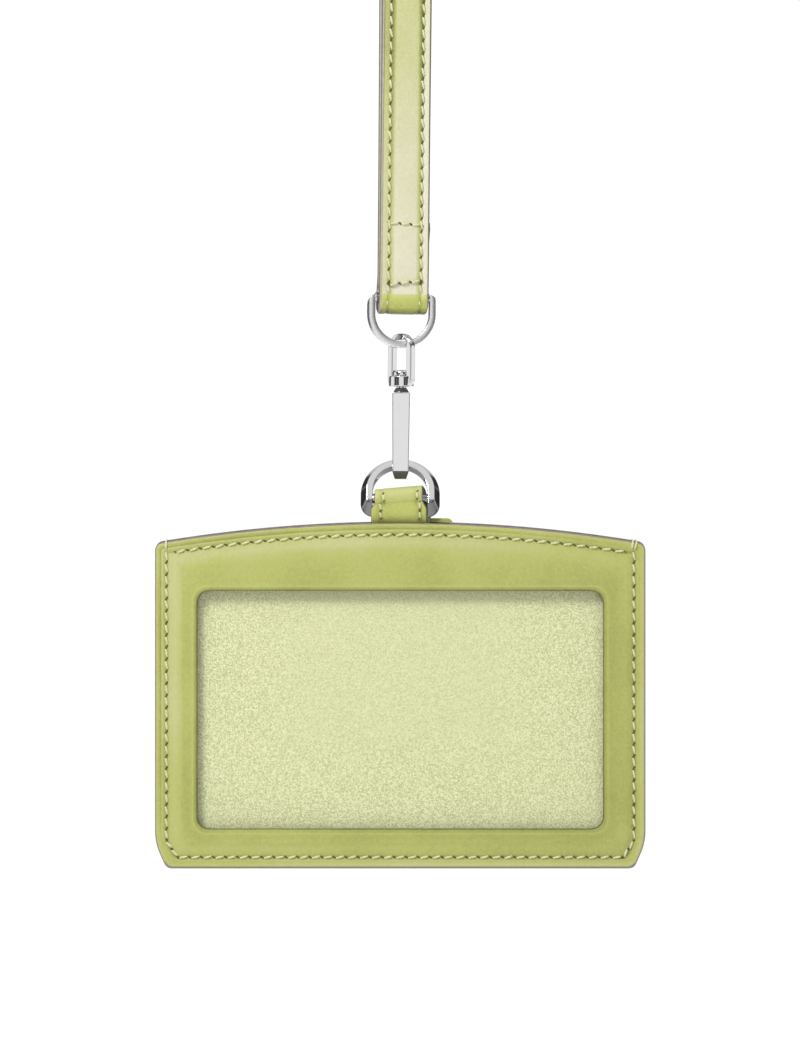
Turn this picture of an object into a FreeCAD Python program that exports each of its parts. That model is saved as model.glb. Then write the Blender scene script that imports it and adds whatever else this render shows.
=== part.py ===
import FreeCAD, Part
import math
import os
from FreeCAD import Vector

# A leather badge holder hanging from a leather neck lanyard by a swivel snap hook.
# Millimetres. +X is right, +Y is away from the wearer's front, +Z is up.
# The origin is the inside top of the neck loop, and everything hangs below it.

os.makedirs("parts", exist_ok=True)

# ---- Driving dimensions ----

# Lanyard
STRAP_WIDTH = 10.0
STRAP_THICKNESS = 2.2
DROP = 395.0              # neck rest down to the axis of the upper ring's bar
NECK_RADIUS = 16.0        # inside radius of the loop where it passes over the neck rest
FOLD_RADIUS = 2.25        # middle of the leather, round the upper ring's bar
TAIL_RISE = 15.6          # how far the folded tail reaches above the bar
SANDWICH_START = 1.6      # lower end of the back strap above the bar
LAP_TOP, LAP_BOTTOM = -12.0, -40.0   # sewn overlap of the two straps at the nape
TURN = 10.0               # the lanyard's plane is turned this much about Z
LEAN = 0.5                # and the whole chain leans this much sideways
BOX_ROWS = (2.84, 14.6)   # sewn rows above the bar
ARC_SHARE = 0.45          # share of the shorter run that an arc of the route takes

# Rings: inner half width, bar radius, and each one's face and depth
RING_INNER = 5.5
BAR_RADIUS = 1.05
UPPER_FACE, UPPER_FLARE, UPPER_DEPTH = 1.3, 0.2, 1.6
UPPER_CENTRE = 3.2        # bar axis to the arc's centre
LOWER_FACE, LOWER_FLARE, LOWER_DEPTH = 1.35, 1.15, 2.1
LOWER_CENTRE = 1.3
UPPER_FEET, LOWER_FEET = (-1.1, -1.25), (-1.3, -3.6)     # front and rear, below the bar's axis
UPPER_CORNERS, LOWER_CORNERS = (1.0, 2.0), (1.0, 2.6)
LOWER_LEAN = 24.0         # the lower ring's arch leans back

# Swivel eye, heights below the upper bar
EYE_TOP, EYE_BOTTOM = -7.12, -17.84
EYE_HALF_WIDTH, EYE_WIRE = 3.3, 1.35
EYE_TURN = -45.0
EYE_HOLLOW_CORNER = 0.65   # the hollow is squarer than the outside, to clear the ring
COLLAR_TOP, COLLAR_RADIUS = -15.7, 1.9
POST_RADIUS, POST_CLEARANCE = 0.9, 0.05
POST_HEAD_RADIUS, POST_HEAD_HEIGHT = 1.45, 1.0
POST_FOOT = -21.4

# Snap hook, heights below the upper bar
HOOK_TOP, HOOK_BOTTOM = -18.96, -36.36
HOOK_HALF_TOP, HOOK_HALF_BOTTOM, HOOK_HALF_END = 1.79, 1.62, 1.2
HOOK_END = 1.3            # height of the narrowed lower end
HOOK_CHAMFER, HOOK_HEEL = 1.35, 4.0   # its lower front and rear corners
HOOK_CENTRE_Y, HOOK_CENTRE_Z = 2.8, -32.6
HOOK_INNER = 2.35
SPINE_THICKNESS = 2.1
HEAD_BOTTOM = -22.4       # underside of the hook's head
TIP_TOP, TIP_SLOPE = -31.0, 0.5
NECK_TOP, NECK_RADIUS_TOP, NECK_RADIUS_FOOT = -18.05, 1.1, 1.6
GATE_SLOT_HALF, GATE_SLOT_FRONT, GATE_SLOT_TOP = 1.25, 1.5, -19.8
GATE_HALF = 1.17
PIVOT_Y, PIVOT_Z = 5.95, -21.1
PIN_RADIUS, PIN_CLEARANCE = 0.5, 0.05
GATE_HEAD_RADIUS = 1.2
GATE_NOSE, NOSE_DROP = -30.5, 0.25   # short enough to swing in past the hook's tip
GATE_FRONT, GATE_BACK = 5.35, 7.05
HEEL_FRONT, HEEL_TOP, HEEL_BOTTOM = 3.7, -20.95, -21.75
SPRING_Y = 4.2
SPRING_RADIUS, SPRING_WIRE = 0.38, 0.11

# Lower ring's bar, which the holder hangs on
LOWER_BAR_Y, LOWER_BAR_Z = -0.62, -40.35

# Holder, measured from the lower bar's axis
HALF_WIDTH = 49.1
TOP_MIDDLE, TOP_SIDE = -4.81, -8.95
BOTTOM = -74.01
BEVEL_TOP, BEVEL_HALF = -68.8, 46.8
CORNER_RADIUS = 0.9
FRONT_LEATHER, FRONT_LINING, POCKET = 1.2, 0.3, 1.0
BACKING, BOARD, BACK_LEATHER = 0.4, 0.6, 1.3
FRONT_FACE = -2.5
BACK_RISE = 0.3           # the back panel stands this much proud along the top
WINDOW_HALF, WINDOW_TOP, WINDOW_BOTTOM, WINDOW_RADIUS = 40.6, -18.4, -66.0, 2.4
FILM_BORDER = 2.2
FILLER_SIDE, FILLER_BOTTOM = 5.2, 5.2

# Leather tab that holds the lower ring
TAB_LEATHER, TAB_CAVITY = 1.2, 1.15
TAB_NARROW, TAB_WIDE = 4.6, 5.38
TAB_SHOULDER = -0.9
TAB_JOIN = -4.75
TONGUE_END = -17.0
ANCHOR_LEFT, ANCHOR_RIGHT, ANCHOR_TOP, ANCHOR_THICKNESS = -5.3, 10.6, -3.85, 0.4

# Stitching
STITCH_LENGTH, STITCH_WIDTH, STITCH_HEIGHT = 1.9, 0.42, 0.22
STITCH_PITCH, TOP_PITCH = 2.4, 2.6
STITCH_INSET = 2.35
STITCH_SLANT = 14.0

ORIGIN = Vector(0, 0, 0)
X_AXIS, Y_AXIS, Z_AXIS = Vector(1, 0, 0), Vector(0, 1, 0), Vector(0, 0, 1)


# ---- Helpers ----

def write(name, shape):
    """Saves one piece of the object as its own node."""
    if not shape.isValid():
        raise ValueError(name + " is not a valid solid")
    shape.exportStep(os.path.join("parts", name + ".step"))
    print(f"{name:18s} {len(shape.Solids)} solid(s) {shape.Volume:9.2f} mm3")


def block(x0, x1, y0, y1, z0, z1):
    return Part.makeBox(x1 - x0, y1 - y0, z1 - z0, Vector(x0, y0, z0))


def one(shape):
    """The single clean solid that a boolean result holds."""
    solid = shape.removeSplitter()
    return solid.Solids[0] if len(solid.Solids) == 1 else solid


def side_prism(points, half_width):
    """A polygon in the YZ plane, extruded along X to both sides."""
    corners = [Vector(-half_width, y, z) for y, z in points]
    face = Part.Face(Part.makePolygon(corners + corners[:1]))
    return face.extrude(Vector(2 * half_width, 0, 0))


def front_prism(points, y0, y1):
    """A polygon in the XZ plane, extruded along Y from y0 to y1."""
    corners = [Vector(x, y0, z) for x, z in points]
    face = Part.Face(Part.makePolygon(corners + corners[:1]))
    return face.extrude(Vector(0, y1 - y0, 0))


def rounded_block(half_width, top, bottom, radius, y0, y1):
    """A flat rectangle with round corners in the XZ plane."""
    plate = block(-half_width, half_width, y0, y1, bottom, top)
    upright = [edge for edge in plate.Edges if abs(edge.tangentAt(0).y) > 0.99]
    return plate.makeFillet(radius, upright)


def x_rod(y, z, radius, half_length):
    return Part.makeCylinder(radius, 2 * half_length, Vector(-half_length, y, z), X_AXIS)


def in_chain(shape):
    """Hangs a piece, built round the upper bar at the origin, in its place on the leaning chain."""
    shape.translate(Vector(0, 0, -DROP))
    shape.rotate(ORIGIN, Y_AXIS, LEAN)
    return shape


def on_lanyard(shape):
    """Turns a piece, built in the lanyard's own upright plane, into the leaning chain."""
    shape.rotate(ORIGIN, Z_AXIS, TURN)
    shape.rotate(ORIGIN, Y_AXIS, LEAN)
    return shape


def on_holder(shape):
    """Moves a piece, built round the lower bar at the origin, to the level holder."""
    bar = Part.Vertex(Vector(0, LOWER_BAR_Y, LOWER_BAR_Z))
    shape.translate(in_chain(bar).Point)
    return shape


def run_of_stitches(start, end, pitch, slant=STITCH_SLANT):
    """Thread stitches lying on the plane Y = start.y, from start to end in the XZ plane."""
    along = end - start
    count = max(1, round(along.Length / pitch))
    angle = -math.degrees(math.atan2(along.z, along.x)) + slant
    stitches = []
    for i in range(count):
        centre = start + along * ((i + 0.5) / count)
        stitch = block(-STITCH_LENGTH / 2, STITCH_LENGTH / 2, -STITCH_HEIGHT, 0,
                       -STITCH_WIDTH / 2, STITCH_WIDTH / 2)
        stitch.rotate(ORIGIN, Y_AXIS, angle)
        stitch.translate(centre)
        stitches.append(stitch)
    return stitches


# ---- Lanyard straps ----

def rounded_path(name, route):
    """Straight runs through the route's (y, z) points, joined by tangent arcs."""
    points = [Vector(0, y, z) for y, z in route]
    edges, radii = [], []
    start = points[0]
    for before, corner, after in zip(points, points[1:], points[2:]):
        back, ahead = before - corner, after - corner
        reach = ARC_SHARE * min(back.Length, ahead.Length)
        half_turn = (math.pi - back.getAngle(ahead)) / 2
        radius = reach / math.tan(half_turn)
        arc_start = corner + back.normalize() * reach
        arc_end = corner + ahead.normalize() * reach
        inward = (back + ahead).normalize()
        middle = corner + inward * (radius / math.cos(half_turn) - radius)
        edges.append(Part.LineSegment(start, arc_start).toShape())
        edges.append(Part.Arc(arc_start, middle, arc_end).toShape())
        radii.append(radius)
        start = arc_end
    edges.append(Part.LineSegment(start, points[-1]).toShape())
    print(name, "arc radii", ", ".join(f"{r:.1f}" for r in radii))
    return Part.Wire(edges)


def strap(name, route):
    """A flat leather strap along a route in its own YZ plane."""
    path = rounded_path(name, route)
    start = path.Edges[0].Vertexes[0].Point
    half_width, half_thickness = STRAP_WIDTH / 2, STRAP_THICKNESS / 2
    across = path.Edges[0].tangentAt(0).cross(X_AXIS) * half_thickness
    side = X_AXIS * half_width
    corners = [start - side - across, start + side - across,
               start + side + across, start - side + across]
    profile = Part.makePolygon(corners + corners[:1])
    solid = path.makePipeShell([profile], True, False)
    expected = STRAP_WIDTH * STRAP_THICKNESS * path.Length
    print(f"{name} is {path.Length:.1f} mm long, volume {solid.Volume / expected:.3f} of its section")
    return on_lanyard(solid)


def polygon_round(centre_z, radius, degrees):
    """Corners of a polygon whose sides touch a circle about (0, centre_z)."""
    reach = radius / math.cos(math.radians(22.5))
    return [(reach * math.cos(math.radians(a)), centre_z + reach * math.sin(math.radians(a)))
            for a in degrees]


loop_middle = NECK_RADIUS + STRAP_THICKNESS / 2
lap_middle = loop_middle + STRAP_THICKNESS + 0.05
tail_top = -DROP + TAIL_RISE

FRONT_ROUTE = (
    [(FOLD_RADIUS, tail_top)]
    + polygon_round(-DROP, FOLD_RADIUS, (-22.5, -67.5, -112.5, -157.5))
    + [(-2.25, -365.0), (-3.6, -285.0), (-8.4, -190.0), (-14.0, -100.0), (-17.1, -45.0)]
    + polygon_round(-NECK_RADIUS, loop_middle, (157.5, 112.5, 67.5, 22.5))
    + [(loop_middle, LAP_BOTTOM)]
)
BACK_ROUTE = [
    (0.0, -DROP + SANDWICH_START), (0.0, -368.0), (1.8, -290.0), (8.0, -195.0),
    (15.2, -105.0), (lap_middle, -55.0), (lap_middle, LAP_TOP),
]

write("front_strap", strap("front_strap", FRONT_ROUTE))
write("back_strap", strap("back_strap", BACK_ROUTE))

row_half = 3.3
box_face = -FOLD_RADIUS - STRAP_THICKNESS / 2
box_rows = []
for rise in BOX_ROWS:
    left = Vector(-row_half, box_face, -DROP + rise)
    right = Vector(row_half, box_face, -DROP + rise)
    box_rows += run_of_stitches(left, right, 2.2)
write("strap_box_thread", on_lanyard(Part.makeCompound(box_rows)))

lap_face = -(lap_middle + STRAP_THICKNESS / 2)
lap_rows = []
for height in (LAP_TOP - 4.0, LAP_BOTTOM + 4.0):
    left = Vector(-row_half, lap_face, height)
    right = Vector(row_half, lap_face, height)
    lap_rows += run_of_stitches(left, right, 2.2)
nape_thread = Part.makeCompound(lap_rows)
nape_thread.rotate(ORIGIN, Z_AXIS, 180)
write("nape_thread", on_lanyard(nape_thread))


# ---- D-rings ----

def d_outline(y, radius, centre_z, foot, corner):
    """A closed D in the plane Y = y: flat foot at the bottom, arch on top."""
    diagonal = corner * (1 - math.sqrt(0.5))
    left, right, bottom = -radius, radius, foot
    points = [
        Vector(left + corner, y, bottom), Vector(right - corner, y, bottom),
        Vector(right, y, bottom + corner), Vector(right, y, centre_z),
        Vector(left, y, centre_z), Vector(left, y, bottom + corner),
    ]
    edges = [
        Part.LineSegment(points[0], points[1]),
        Part.Arc(points[1], Vector(right - diagonal, y, bottom + diagonal), points[2]),
        Part.LineSegment(points[2], points[3]),
        Part.Arc(points[3], Vector(0, y, centre_z + radius), points[4]),
        Part.LineSegment(points[4], points[5]),
        Part.Arc(points[5], Vector(left + diagonal, y, bottom + diagonal), points[0]),
    ]
    return Part.Wire([edge.toShape() for edge in edges])


def d_ring(face, flare, depth, centre_z, feet, corners):
    """A cast D-ring, arch upwards, with its round bar's axis at the origin.

    The outside widens from the front face to the rear, and the inside is straight."""
    front = d_outline(-depth / 2, RING_INNER + face, centre_z, feet[0], corners[0])
    rear = d_outline(depth / 2, RING_INNER + face + flare, centre_z, feet[1], corners[1])
    body = Part.makeLoft([front, rear], True, True)
    opening = block(-RING_INNER, RING_INNER, -depth, depth, -20, centre_z)
    arch = Part.makeCylinder(RING_INNER, 2 * depth, Vector(0, -depth, centre_z), Y_AXIS)
    bar = x_rod(0, 0, BAR_RADIUS, RING_INNER + 0.4)
    return one(body.cut(opening).cut(arch).fuse(bar))


upper_ring = d_ring(UPPER_FACE, UPPER_FLARE, UPPER_DEPTH, UPPER_CENTRE, UPPER_FEET, UPPER_CORNERS)
upper_ring.rotate(ORIGIN, Y_AXIS, 180)
upper_ring.translate(Vector(0, 0, -DROP))
write("upper_d_ring", on_lanyard(upper_ring))

lower_ring = d_ring(LOWER_FACE, LOWER_FLARE, LOWER_DEPTH, LOWER_CENTRE, LOWER_FEET, LOWER_CORNERS)
lower_ring.rotate(ORIGIN, X_AXIS, -LOWER_LEAN)
lower_ring.translate(Vector(0, LOWER_BAR_Y, LOWER_BAR_Z))
write("lower_d_ring", in_chain(lower_ring))


# ---- Swivel ----

def upright_link(half_width, top, bottom, half_depth):
    """A solid with straight sides and round ends, in the XZ plane."""
    high, low = top - half_width, bottom + half_width
    ends = [Part.makeCylinder(half_width, 2 * half_depth, Vector(0, -half_depth, z), Y_AXIS)
            for z in (high, low)]
    middle = block(-half_width, half_width, -half_depth, half_depth, low, high)
    return ends[0].fuse(ends[1]).fuse(middle)


link = upright_link(EYE_HALF_WIDTH, EYE_TOP, EYE_BOTTOM, EYE_WIRE / 2)
hollow = rounded_block(EYE_HALF_WIDTH - EYE_WIRE, EYE_TOP - EYE_WIRE, EYE_BOTTOM + EYE_WIRE,
                       EYE_HOLLOW_CORNER, -EYE_WIRE, EYE_WIRE)
collar = Part.makeCylinder(COLLAR_RADIUS, COLLAR_TOP - EYE_BOTTOM, Vector(0, 0, EYE_BOTTOM))
post_hole = Part.makeCylinder(POST_RADIUS + POST_CLEARANCE, 4, Vector(0, 0, EYE_BOTTOM - 1))
swivel_eye = one(link.cut(hollow).fuse(collar).cut(post_hole))
swivel_eye.rotate(ORIGIN, Z_AXIS, EYE_TURN)
write("swivel_eye", in_chain(swivel_eye))

head_foot = COLLAR_TOP + 0.08
post = Part.makeCylinder(POST_RADIUS, head_foot - POST_FOOT, Vector(0, 0, POST_FOOT))
post_head = Part.makeCylinder(POST_HEAD_RADIUS, POST_HEAD_HEIGHT, Vector(0, 0, head_foot))
rim = [edge for edge in post_head.Edges if edge.CenterOfMass.z > head_foot + POST_HEAD_HEIGHT - 0.01]
post_head = post_head.makeFillet(0.45, rim)
write("swivel_post", in_chain(one(post.fuse(post_head))))


# ---- Snap hook ----

spine_back = HOOK_CENTRE_Y - HOOK_INNER
spine_front = spine_back - SPINE_THICKNESS
hook_outer = HOOK_CENTRE_Y - spine_front
limb_front, limb_back = HOOK_CENTRE_Y + HOOK_INNER, HOOK_CENTRE_Y + hook_outer
outer_centre_z = HOOK_BOTTOM + hook_outer
half = HOOK_HALF_TOP

bend = block(-half, half, spine_front, limb_back, HOOK_BOTTOM, outer_centre_z)
low_edges = [edge for edge in bend.Edges
             if edge.CenterOfMass.z < HOOK_BOTTOM + 0.01 and abs(edge.CenterOfMass.x) < 0.01]
low_edges.sort(key=lambda edge: edge.CenterOfMass.y)
bend = bend.makeFillet(HOOK_HEEL, low_edges[1:])
front_edge = [edge for edge in bend.Edges
              if edge.CenterOfMass.z < HOOK_BOTTOM + 0.01 and edge.CenterOfMass.y < spine_front + 0.01]
bend = bend.makeChamfer(HOOK_CHAMFER, front_edge)
spine = block(-half, half, spine_front, spine_back, outer_centre_z, HOOK_TOP)
limb = side_prism([(limb_front, outer_centre_z), (limb_back, outer_centre_z),
                   (limb_back, TIP_TOP - TIP_SLOPE), (limb_front, TIP_TOP)], half)
head = block(-half, half, spine_front, limb_back, HEAD_BOTTOM, HOOK_TOP)
shoulder = [edge for edge in head.Edges
            if edge.CenterOfMass.y > limb_back - 0.01 and edge.CenterOfMass.z > HOOK_TOP - 0.01]
head = head.makeFillet(2.6, shoulder)
throat = x_rod(HOOK_CENTRE_Y, HOOK_CENTRE_Z, HOOK_INNER, half + 1)
mouth = block(-half - 1, half + 1, spine_back, limb_front, HOOK_CENTRE_Z, HEAD_BOTTOM)
hook = bend.fuse([spine, limb, head]).cut(throat).cut(mouth)

end_z = HOOK_BOTTOM + HOOK_END
silhouette = front_prism([
    (-half, HOOK_TOP), (half, HOOK_TOP), (HOOK_HALF_BOTTOM, end_z), (HOOK_HALF_END, HOOK_BOTTOM),
    (-HOOK_HALF_END, HOOK_BOTTOM), (-HOOK_HALF_BOTTOM, end_z)], spine_front, limb_back)
hook = hook.common(silhouette)

neck = Part.makeCone(NECK_RADIUS_FOOT, NECK_RADIUS_TOP, NECK_TOP - HOOK_TOP, Vector(0, 0, HOOK_TOP))
gate_slot = block(-GATE_SLOT_HALF, GATE_SLOT_HALF, GATE_SLOT_FRONT, limb_back + 1,
                  HEAD_BOTTOM - 1, GATE_SLOT_TOP)
post_bore = Part.makeCylinder(POST_RADIUS, 5, Vector(0, 0, POST_FOOT))
pin_bore = x_rod(PIVOT_Y, PIVOT_Z, PIN_RADIUS, half + 1)
hook = one(hook.fuse(neck).cut(gate_slot).cut(post_bore).cut(pin_bore))
write("hook_body", in_chain(hook))
write("gate_pivot_pin", in_chain(x_rod(PIVOT_Y, PIVOT_Z, PIN_RADIUS, 1.72)))

gate_head = x_rod(PIVOT_Y, PIVOT_Z, GATE_HEAD_RADIUS, GATE_HALF)
arm = side_prism([
    (GATE_FRONT, PIVOT_Z), (GATE_BACK, PIVOT_Z), (GATE_BACK, GATE_NOSE - NOSE_DROP),
    (GATE_FRONT, GATE_NOSE)], GATE_HALF)
heel = block(-GATE_HALF, GATE_HALF, HEEL_FRONT, PIVOT_Y, HEEL_BOTTOM, HEEL_TOP)
gate_bore = x_rod(PIVOT_Y, PIVOT_Z, PIN_RADIUS + PIN_CLEARANCE, half)
write("gate", in_chain(one(gate_head.fuse([arm, heel]).cut(gate_bore))))

spring_foot = HEEL_TOP + SPRING_WIRE + 0.02
spring_height = GATE_SLOT_TOP - SPRING_WIRE - 0.02 - spring_foot
coil = Part.makeHelix(spring_height / 3, spring_height, SPRING_RADIUS)
section = Part.Wire(Part.makeCircle(SPRING_WIRE, Vector(SPRING_RADIUS, 0, 0), Y_AXIS))
spring = Part.Wire(coil.Edges).makePipeShell([section], True, True)
spring.translate(Vector(0, SPRING_Y, spring_foot))
write("gate_spring", in_chain(spring))


# ---- Holder ----

def outline(top_rise=0.0):
    """The holder's outline as a wire in the XZ plane: an arched top and two bevelled lower corners."""
    top_side, top_middle = TOP_SIDE + top_rise, TOP_MIDDLE + top_rise
    r = CORNER_RADIUS
    slope = (top_middle - top_side) * 2 / HALF_WIDTH
    ends = [Vector(-HALF_WIDTH + r, 0, top_side + r * slope), Vector(HALF_WIDTH - r, 0, top_side + r * slope)]
    side_tops = [Vector(HALF_WIDTH, 0, top_side - r), Vector(-HALF_WIDTH, 0, top_side - r)]
    diagonal = r * (1 - math.sqrt(0.5))
    corner_mids = [Vector(HALF_WIDTH - diagonal, 0, top_side - diagonal),
                   Vector(-HALF_WIDTH + diagonal, 0, top_side - diagonal)]
    lower = [Vector(HALF_WIDTH, 0, BEVEL_TOP), Vector(BEVEL_HALF, 0, BOTTOM),
             Vector(-BEVEL_HALF, 0, BOTTOM), Vector(-HALF_WIDTH, 0, BEVEL_TOP)]
    edges = [
        Part.Arc(ends[0], Vector(0, 0, top_middle), ends[1]),
        Part.Arc(ends[1], corner_mids[0], side_tops[0]),
        Part.LineSegment(side_tops[0], lower[0]),
        Part.LineSegment(lower[0], lower[1]),
        Part.LineSegment(lower[1], lower[2]),
        Part.LineSegment(lower[2], lower[3]),
        Part.LineSegment(lower[3], side_tops[1]),
        Part.Arc(side_tops[1], corner_mids[1], ends[0]),
    ]
    return Part.Wire([edge.toShape() for edge in edges])


def sheet(wire, y0, thickness):
    face = Part.Face(wire)
    face.translate(Vector(0, y0, 0))
    return face.extrude(Vector(0, thickness, 0))


lining_y = FRONT_FACE + FRONT_LEATHER
pocket_y = lining_y + FRONT_LINING
backing_y = pocket_y + POCKET
board_y = backing_y + BACKING
back_y = board_y + BOARD
back_face = back_y + BACK_LEATHER

window = rounded_block(WINDOW_HALF, WINDOW_TOP, WINDOW_BOTTOM, WINDOW_RADIUS,
                       FRONT_FACE - 1, lining_y + 1)
write("front_panel", on_holder(one(sheet(outline(), FRONT_FACE, FRONT_LEATHER).cut(window))))

film = block(-WINDOW_HALF - FILM_BORDER, WINDOW_HALF + FILM_BORDER, lining_y, pocket_y,
             WINDOW_BOTTOM - FILM_BORDER, WINDOW_TOP + FILM_BORDER)
write("front_lining", on_holder(one(sheet(outline(), lining_y, FRONT_LINING).cut(film))))
write("window_film", on_holder(film))

pocket_half = HALF_WIDTH - FILLER_SIDE
pocket = block(-pocket_half, pocket_half, pocket_y - 1, backing_y + 1, BOTTOM + FILLER_BOTTOM, 0)
write("edge_filler", on_holder(one(sheet(outline(), pocket_y, POCKET).cut(pocket))))
write("backing_panel", on_holder(sheet(outline(), backing_y, BACKING)))

tongue_room = block(-TAB_WIDE, TAB_WIDE, board_y - 1, back_y + 1, TONGUE_END, 0)
write("stiffener", on_holder(one(sheet(outline(), board_y, BOARD).cut(tongue_room))))

anchor_middle = (ANCHOR_LEFT + ANCHOR_RIGHT) / 2
anchor = rounded_block((ANCHOR_RIGHT - ANCHOR_LEFT) / 2, ANCHOR_TOP, TONGUE_END, 1.0,
                       back_y, back_y + ANCHOR_THICKNESS)
anchor.translate(Vector(anchor_middle, 0, 0))
back_panel = sheet(outline(BACK_RISE), back_y, BACK_LEATHER).cut(anchor)
write("tab_anchor", on_holder(anchor.copy()))
write("back_panel", on_holder(one(back_panel)))

# The tab: leather round the lower ring's bar, its two legs thinned and sewn in as one tongue
tab_outer = TAB_CAVITY + TAB_LEATHER
join_distance = math.hypot(board_y, TAB_JOIN)
leave_angle = math.atan2(TAB_JOIN, board_y) - math.acos(tab_outer / join_distance)
leave_y, leave_z = tab_outer * math.cos(leave_angle), tab_outer * math.sin(leave_angle)
loop_outside = x_rod(0, 0, tab_outer, TAB_WIDE).fuse(side_prism([
    (0, 0), (tab_outer, 0), (back_y, ANCHOR_TOP + 0.05), (back_y, TAB_JOIN),
    (board_y, TAB_JOIN), (leave_y, leave_z)], TAB_WIDE))
loop_cavity = x_rod(0, 0, TAB_CAVITY, TAB_WIDE + 1).fuse(side_prism([
    (-TAB_CAVITY, 0), (TAB_CAVITY, 0), (0.72, -3.3)], TAB_WIDE + 1))
tongue = block(-TAB_WIDE, TAB_WIDE, board_y, back_y, TONGUE_END, TAB_JOIN)
tab_front = front_prism([
    (-TAB_NARROW, 5), (TAB_NARROW, 5), (TAB_NARROW, TAB_SHOULDER + 0.4), (TAB_WIDE, TAB_SHOULDER - 0.4),
    (TAB_WIDE, TONGUE_END), (-TAB_WIDE, TONGUE_END), (-TAB_WIDE, TAB_SHOULDER - 0.4),
    (-TAB_NARROW, TAB_SHOULDER + 0.4)], -5, 5)
tab_loop = one(loop_outside.cut(loop_cavity).fuse(tongue).common(tab_front))
write("tab_loop", on_holder(tab_loop))


# ---- Thread on the holder ----

def arch_z(x, inset):
    """Height of the arched top edge, less an inset, at x."""
    sagitta = TOP_MIDDLE - TOP_SIDE
    radius = (HALF_WIDTH ** 2 + sagitta ** 2) / (2 * sagitta)
    return TOP_MIDDLE - inset - radius + math.sqrt(radius ** 2 - x ** 2)


side_x = HALF_WIDTH - STITCH_INSET
seam_top = TOP_SIDE - 1.4
seam_bottom = BOTTOM + STITCH_INSET
corner_x = side_x - 1.6
seam = []
for sign in (-1, 1):
    seam += run_of_stitches(Vector(sign * side_x, FRONT_FACE, seam_top),
                            Vector(sign * side_x, FRONT_FACE, seam_bottom + 1.2), STITCH_PITCH)
seam += run_of_stitches(Vector(-corner_x, FRONT_FACE, seam_bottom),
                        Vector(corner_x, FRONT_FACE, seam_bottom), STITCH_PITCH)
write("perimeter_thread", on_holder(Part.makeCompound(seam)))

top_run = 2 * corner_x
count = round(top_run / TOP_PITCH)
top_seam = []
for i in range(count):
    x0 = -corner_x + top_run * i / count
    x1 = x0 + top_run / count
    top_seam += run_of_stitches(Vector(x0, FRONT_FACE, arch_z(x0, STITCH_INSET)),
                                Vector(x1, FRONT_FACE, arch_z(x1, STITCH_INSET)), TOP_PITCH)
write("top_edge_thread", on_holder(Part.makeCompound(top_seam)))

# Two stitches each side lie round the tab's fold, and two on its leg, which slopes in behind the front panel
leg_length = math.hypot(board_y - leave_y, TAB_JOIN - leave_z)
leg_turn = math.degrees(math.atan2(board_y - leave_y, leave_z - TAB_JOIN))
tab_seam = []
for sign in (-1, 1):
    fold_x, join_x = sign * (TAB_NARROW - 1.3), sign * (TAB_WIDE - 1.4)
    for turn in (-28.0, 28.0):
        for stitch in run_of_stitches(Vector(fold_x, -tab_outer, 1.0), Vector(fold_x, -tab_outer, -1.0),
                                      STITCH_PITCH, -STITCH_SLANT):
            stitch.rotate(ORIGIN, X_AXIS, turn - 8.0)
            tab_seam.append(stitch)
    for stitch in run_of_stitches(Vector(fold_x, 0, 0), Vector(join_x, 0, -leg_length + 0.3),
                                  2.1, -STITCH_SLANT):
        stitch.rotate(ORIGIN, X_AXIS, leg_turn)
        stitch.translate(Vector(0, leave_y, leave_z))
        tab_seam.append(stitch)
write("tab_thread", on_holder(Part.makeCompound(tab_seam)))
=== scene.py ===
import bpy
import bmesh
import math
import random
from mathutils import Matrix, Vector, noise


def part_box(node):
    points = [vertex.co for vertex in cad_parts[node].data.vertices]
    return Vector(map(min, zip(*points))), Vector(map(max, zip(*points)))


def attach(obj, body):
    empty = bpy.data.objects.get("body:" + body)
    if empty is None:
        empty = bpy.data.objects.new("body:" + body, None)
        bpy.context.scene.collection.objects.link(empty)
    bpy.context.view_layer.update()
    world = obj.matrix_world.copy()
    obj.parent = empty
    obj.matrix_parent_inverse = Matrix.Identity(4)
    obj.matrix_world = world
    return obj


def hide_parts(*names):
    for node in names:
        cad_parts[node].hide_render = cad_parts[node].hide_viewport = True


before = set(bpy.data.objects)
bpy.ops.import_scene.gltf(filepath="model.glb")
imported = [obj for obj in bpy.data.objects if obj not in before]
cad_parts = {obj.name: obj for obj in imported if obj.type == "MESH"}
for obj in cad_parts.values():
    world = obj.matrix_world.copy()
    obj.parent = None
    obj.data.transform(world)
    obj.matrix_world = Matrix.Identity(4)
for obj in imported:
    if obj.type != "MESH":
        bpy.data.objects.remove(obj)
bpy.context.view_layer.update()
random.seed(7)

# Shapes below are in millimetres, and these three matrices put them in the frame, in metres.
MM = 0.001
DROP = 395.0              # neck rest down to the upper ring's bar
LEAN, TURN = math.radians(0.5), math.radians(10.0)
METRES = Matrix.Scale(MM, 4)
CHAIN = METRES @ Matrix.Rotation(LEAN, 4, "Y") @ Matrix.Translation((0, 0, -DROP))
LANYARD = METRES @ Matrix.Rotation(LEAN, 4, "Y") @ Matrix.Rotation(TURN, 4, "Z")

panel_low, panel_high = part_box("front_panel")
FRONT_FACE = -2.5
TOP_MIDDLE, TOP_SIDE, BOTTOM = -4.81, -8.95, -74.01
bar_place = Vector(((panel_low[0] + panel_high[0]) / 2, panel_low[1] - FRONT_FACE * MM,
                    panel_high[2] - TOP_MIDDLE * MM))
HOLDER = Matrix.Translation(bar_place) @ METRES


# ---- Camera, light and floor ----

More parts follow.
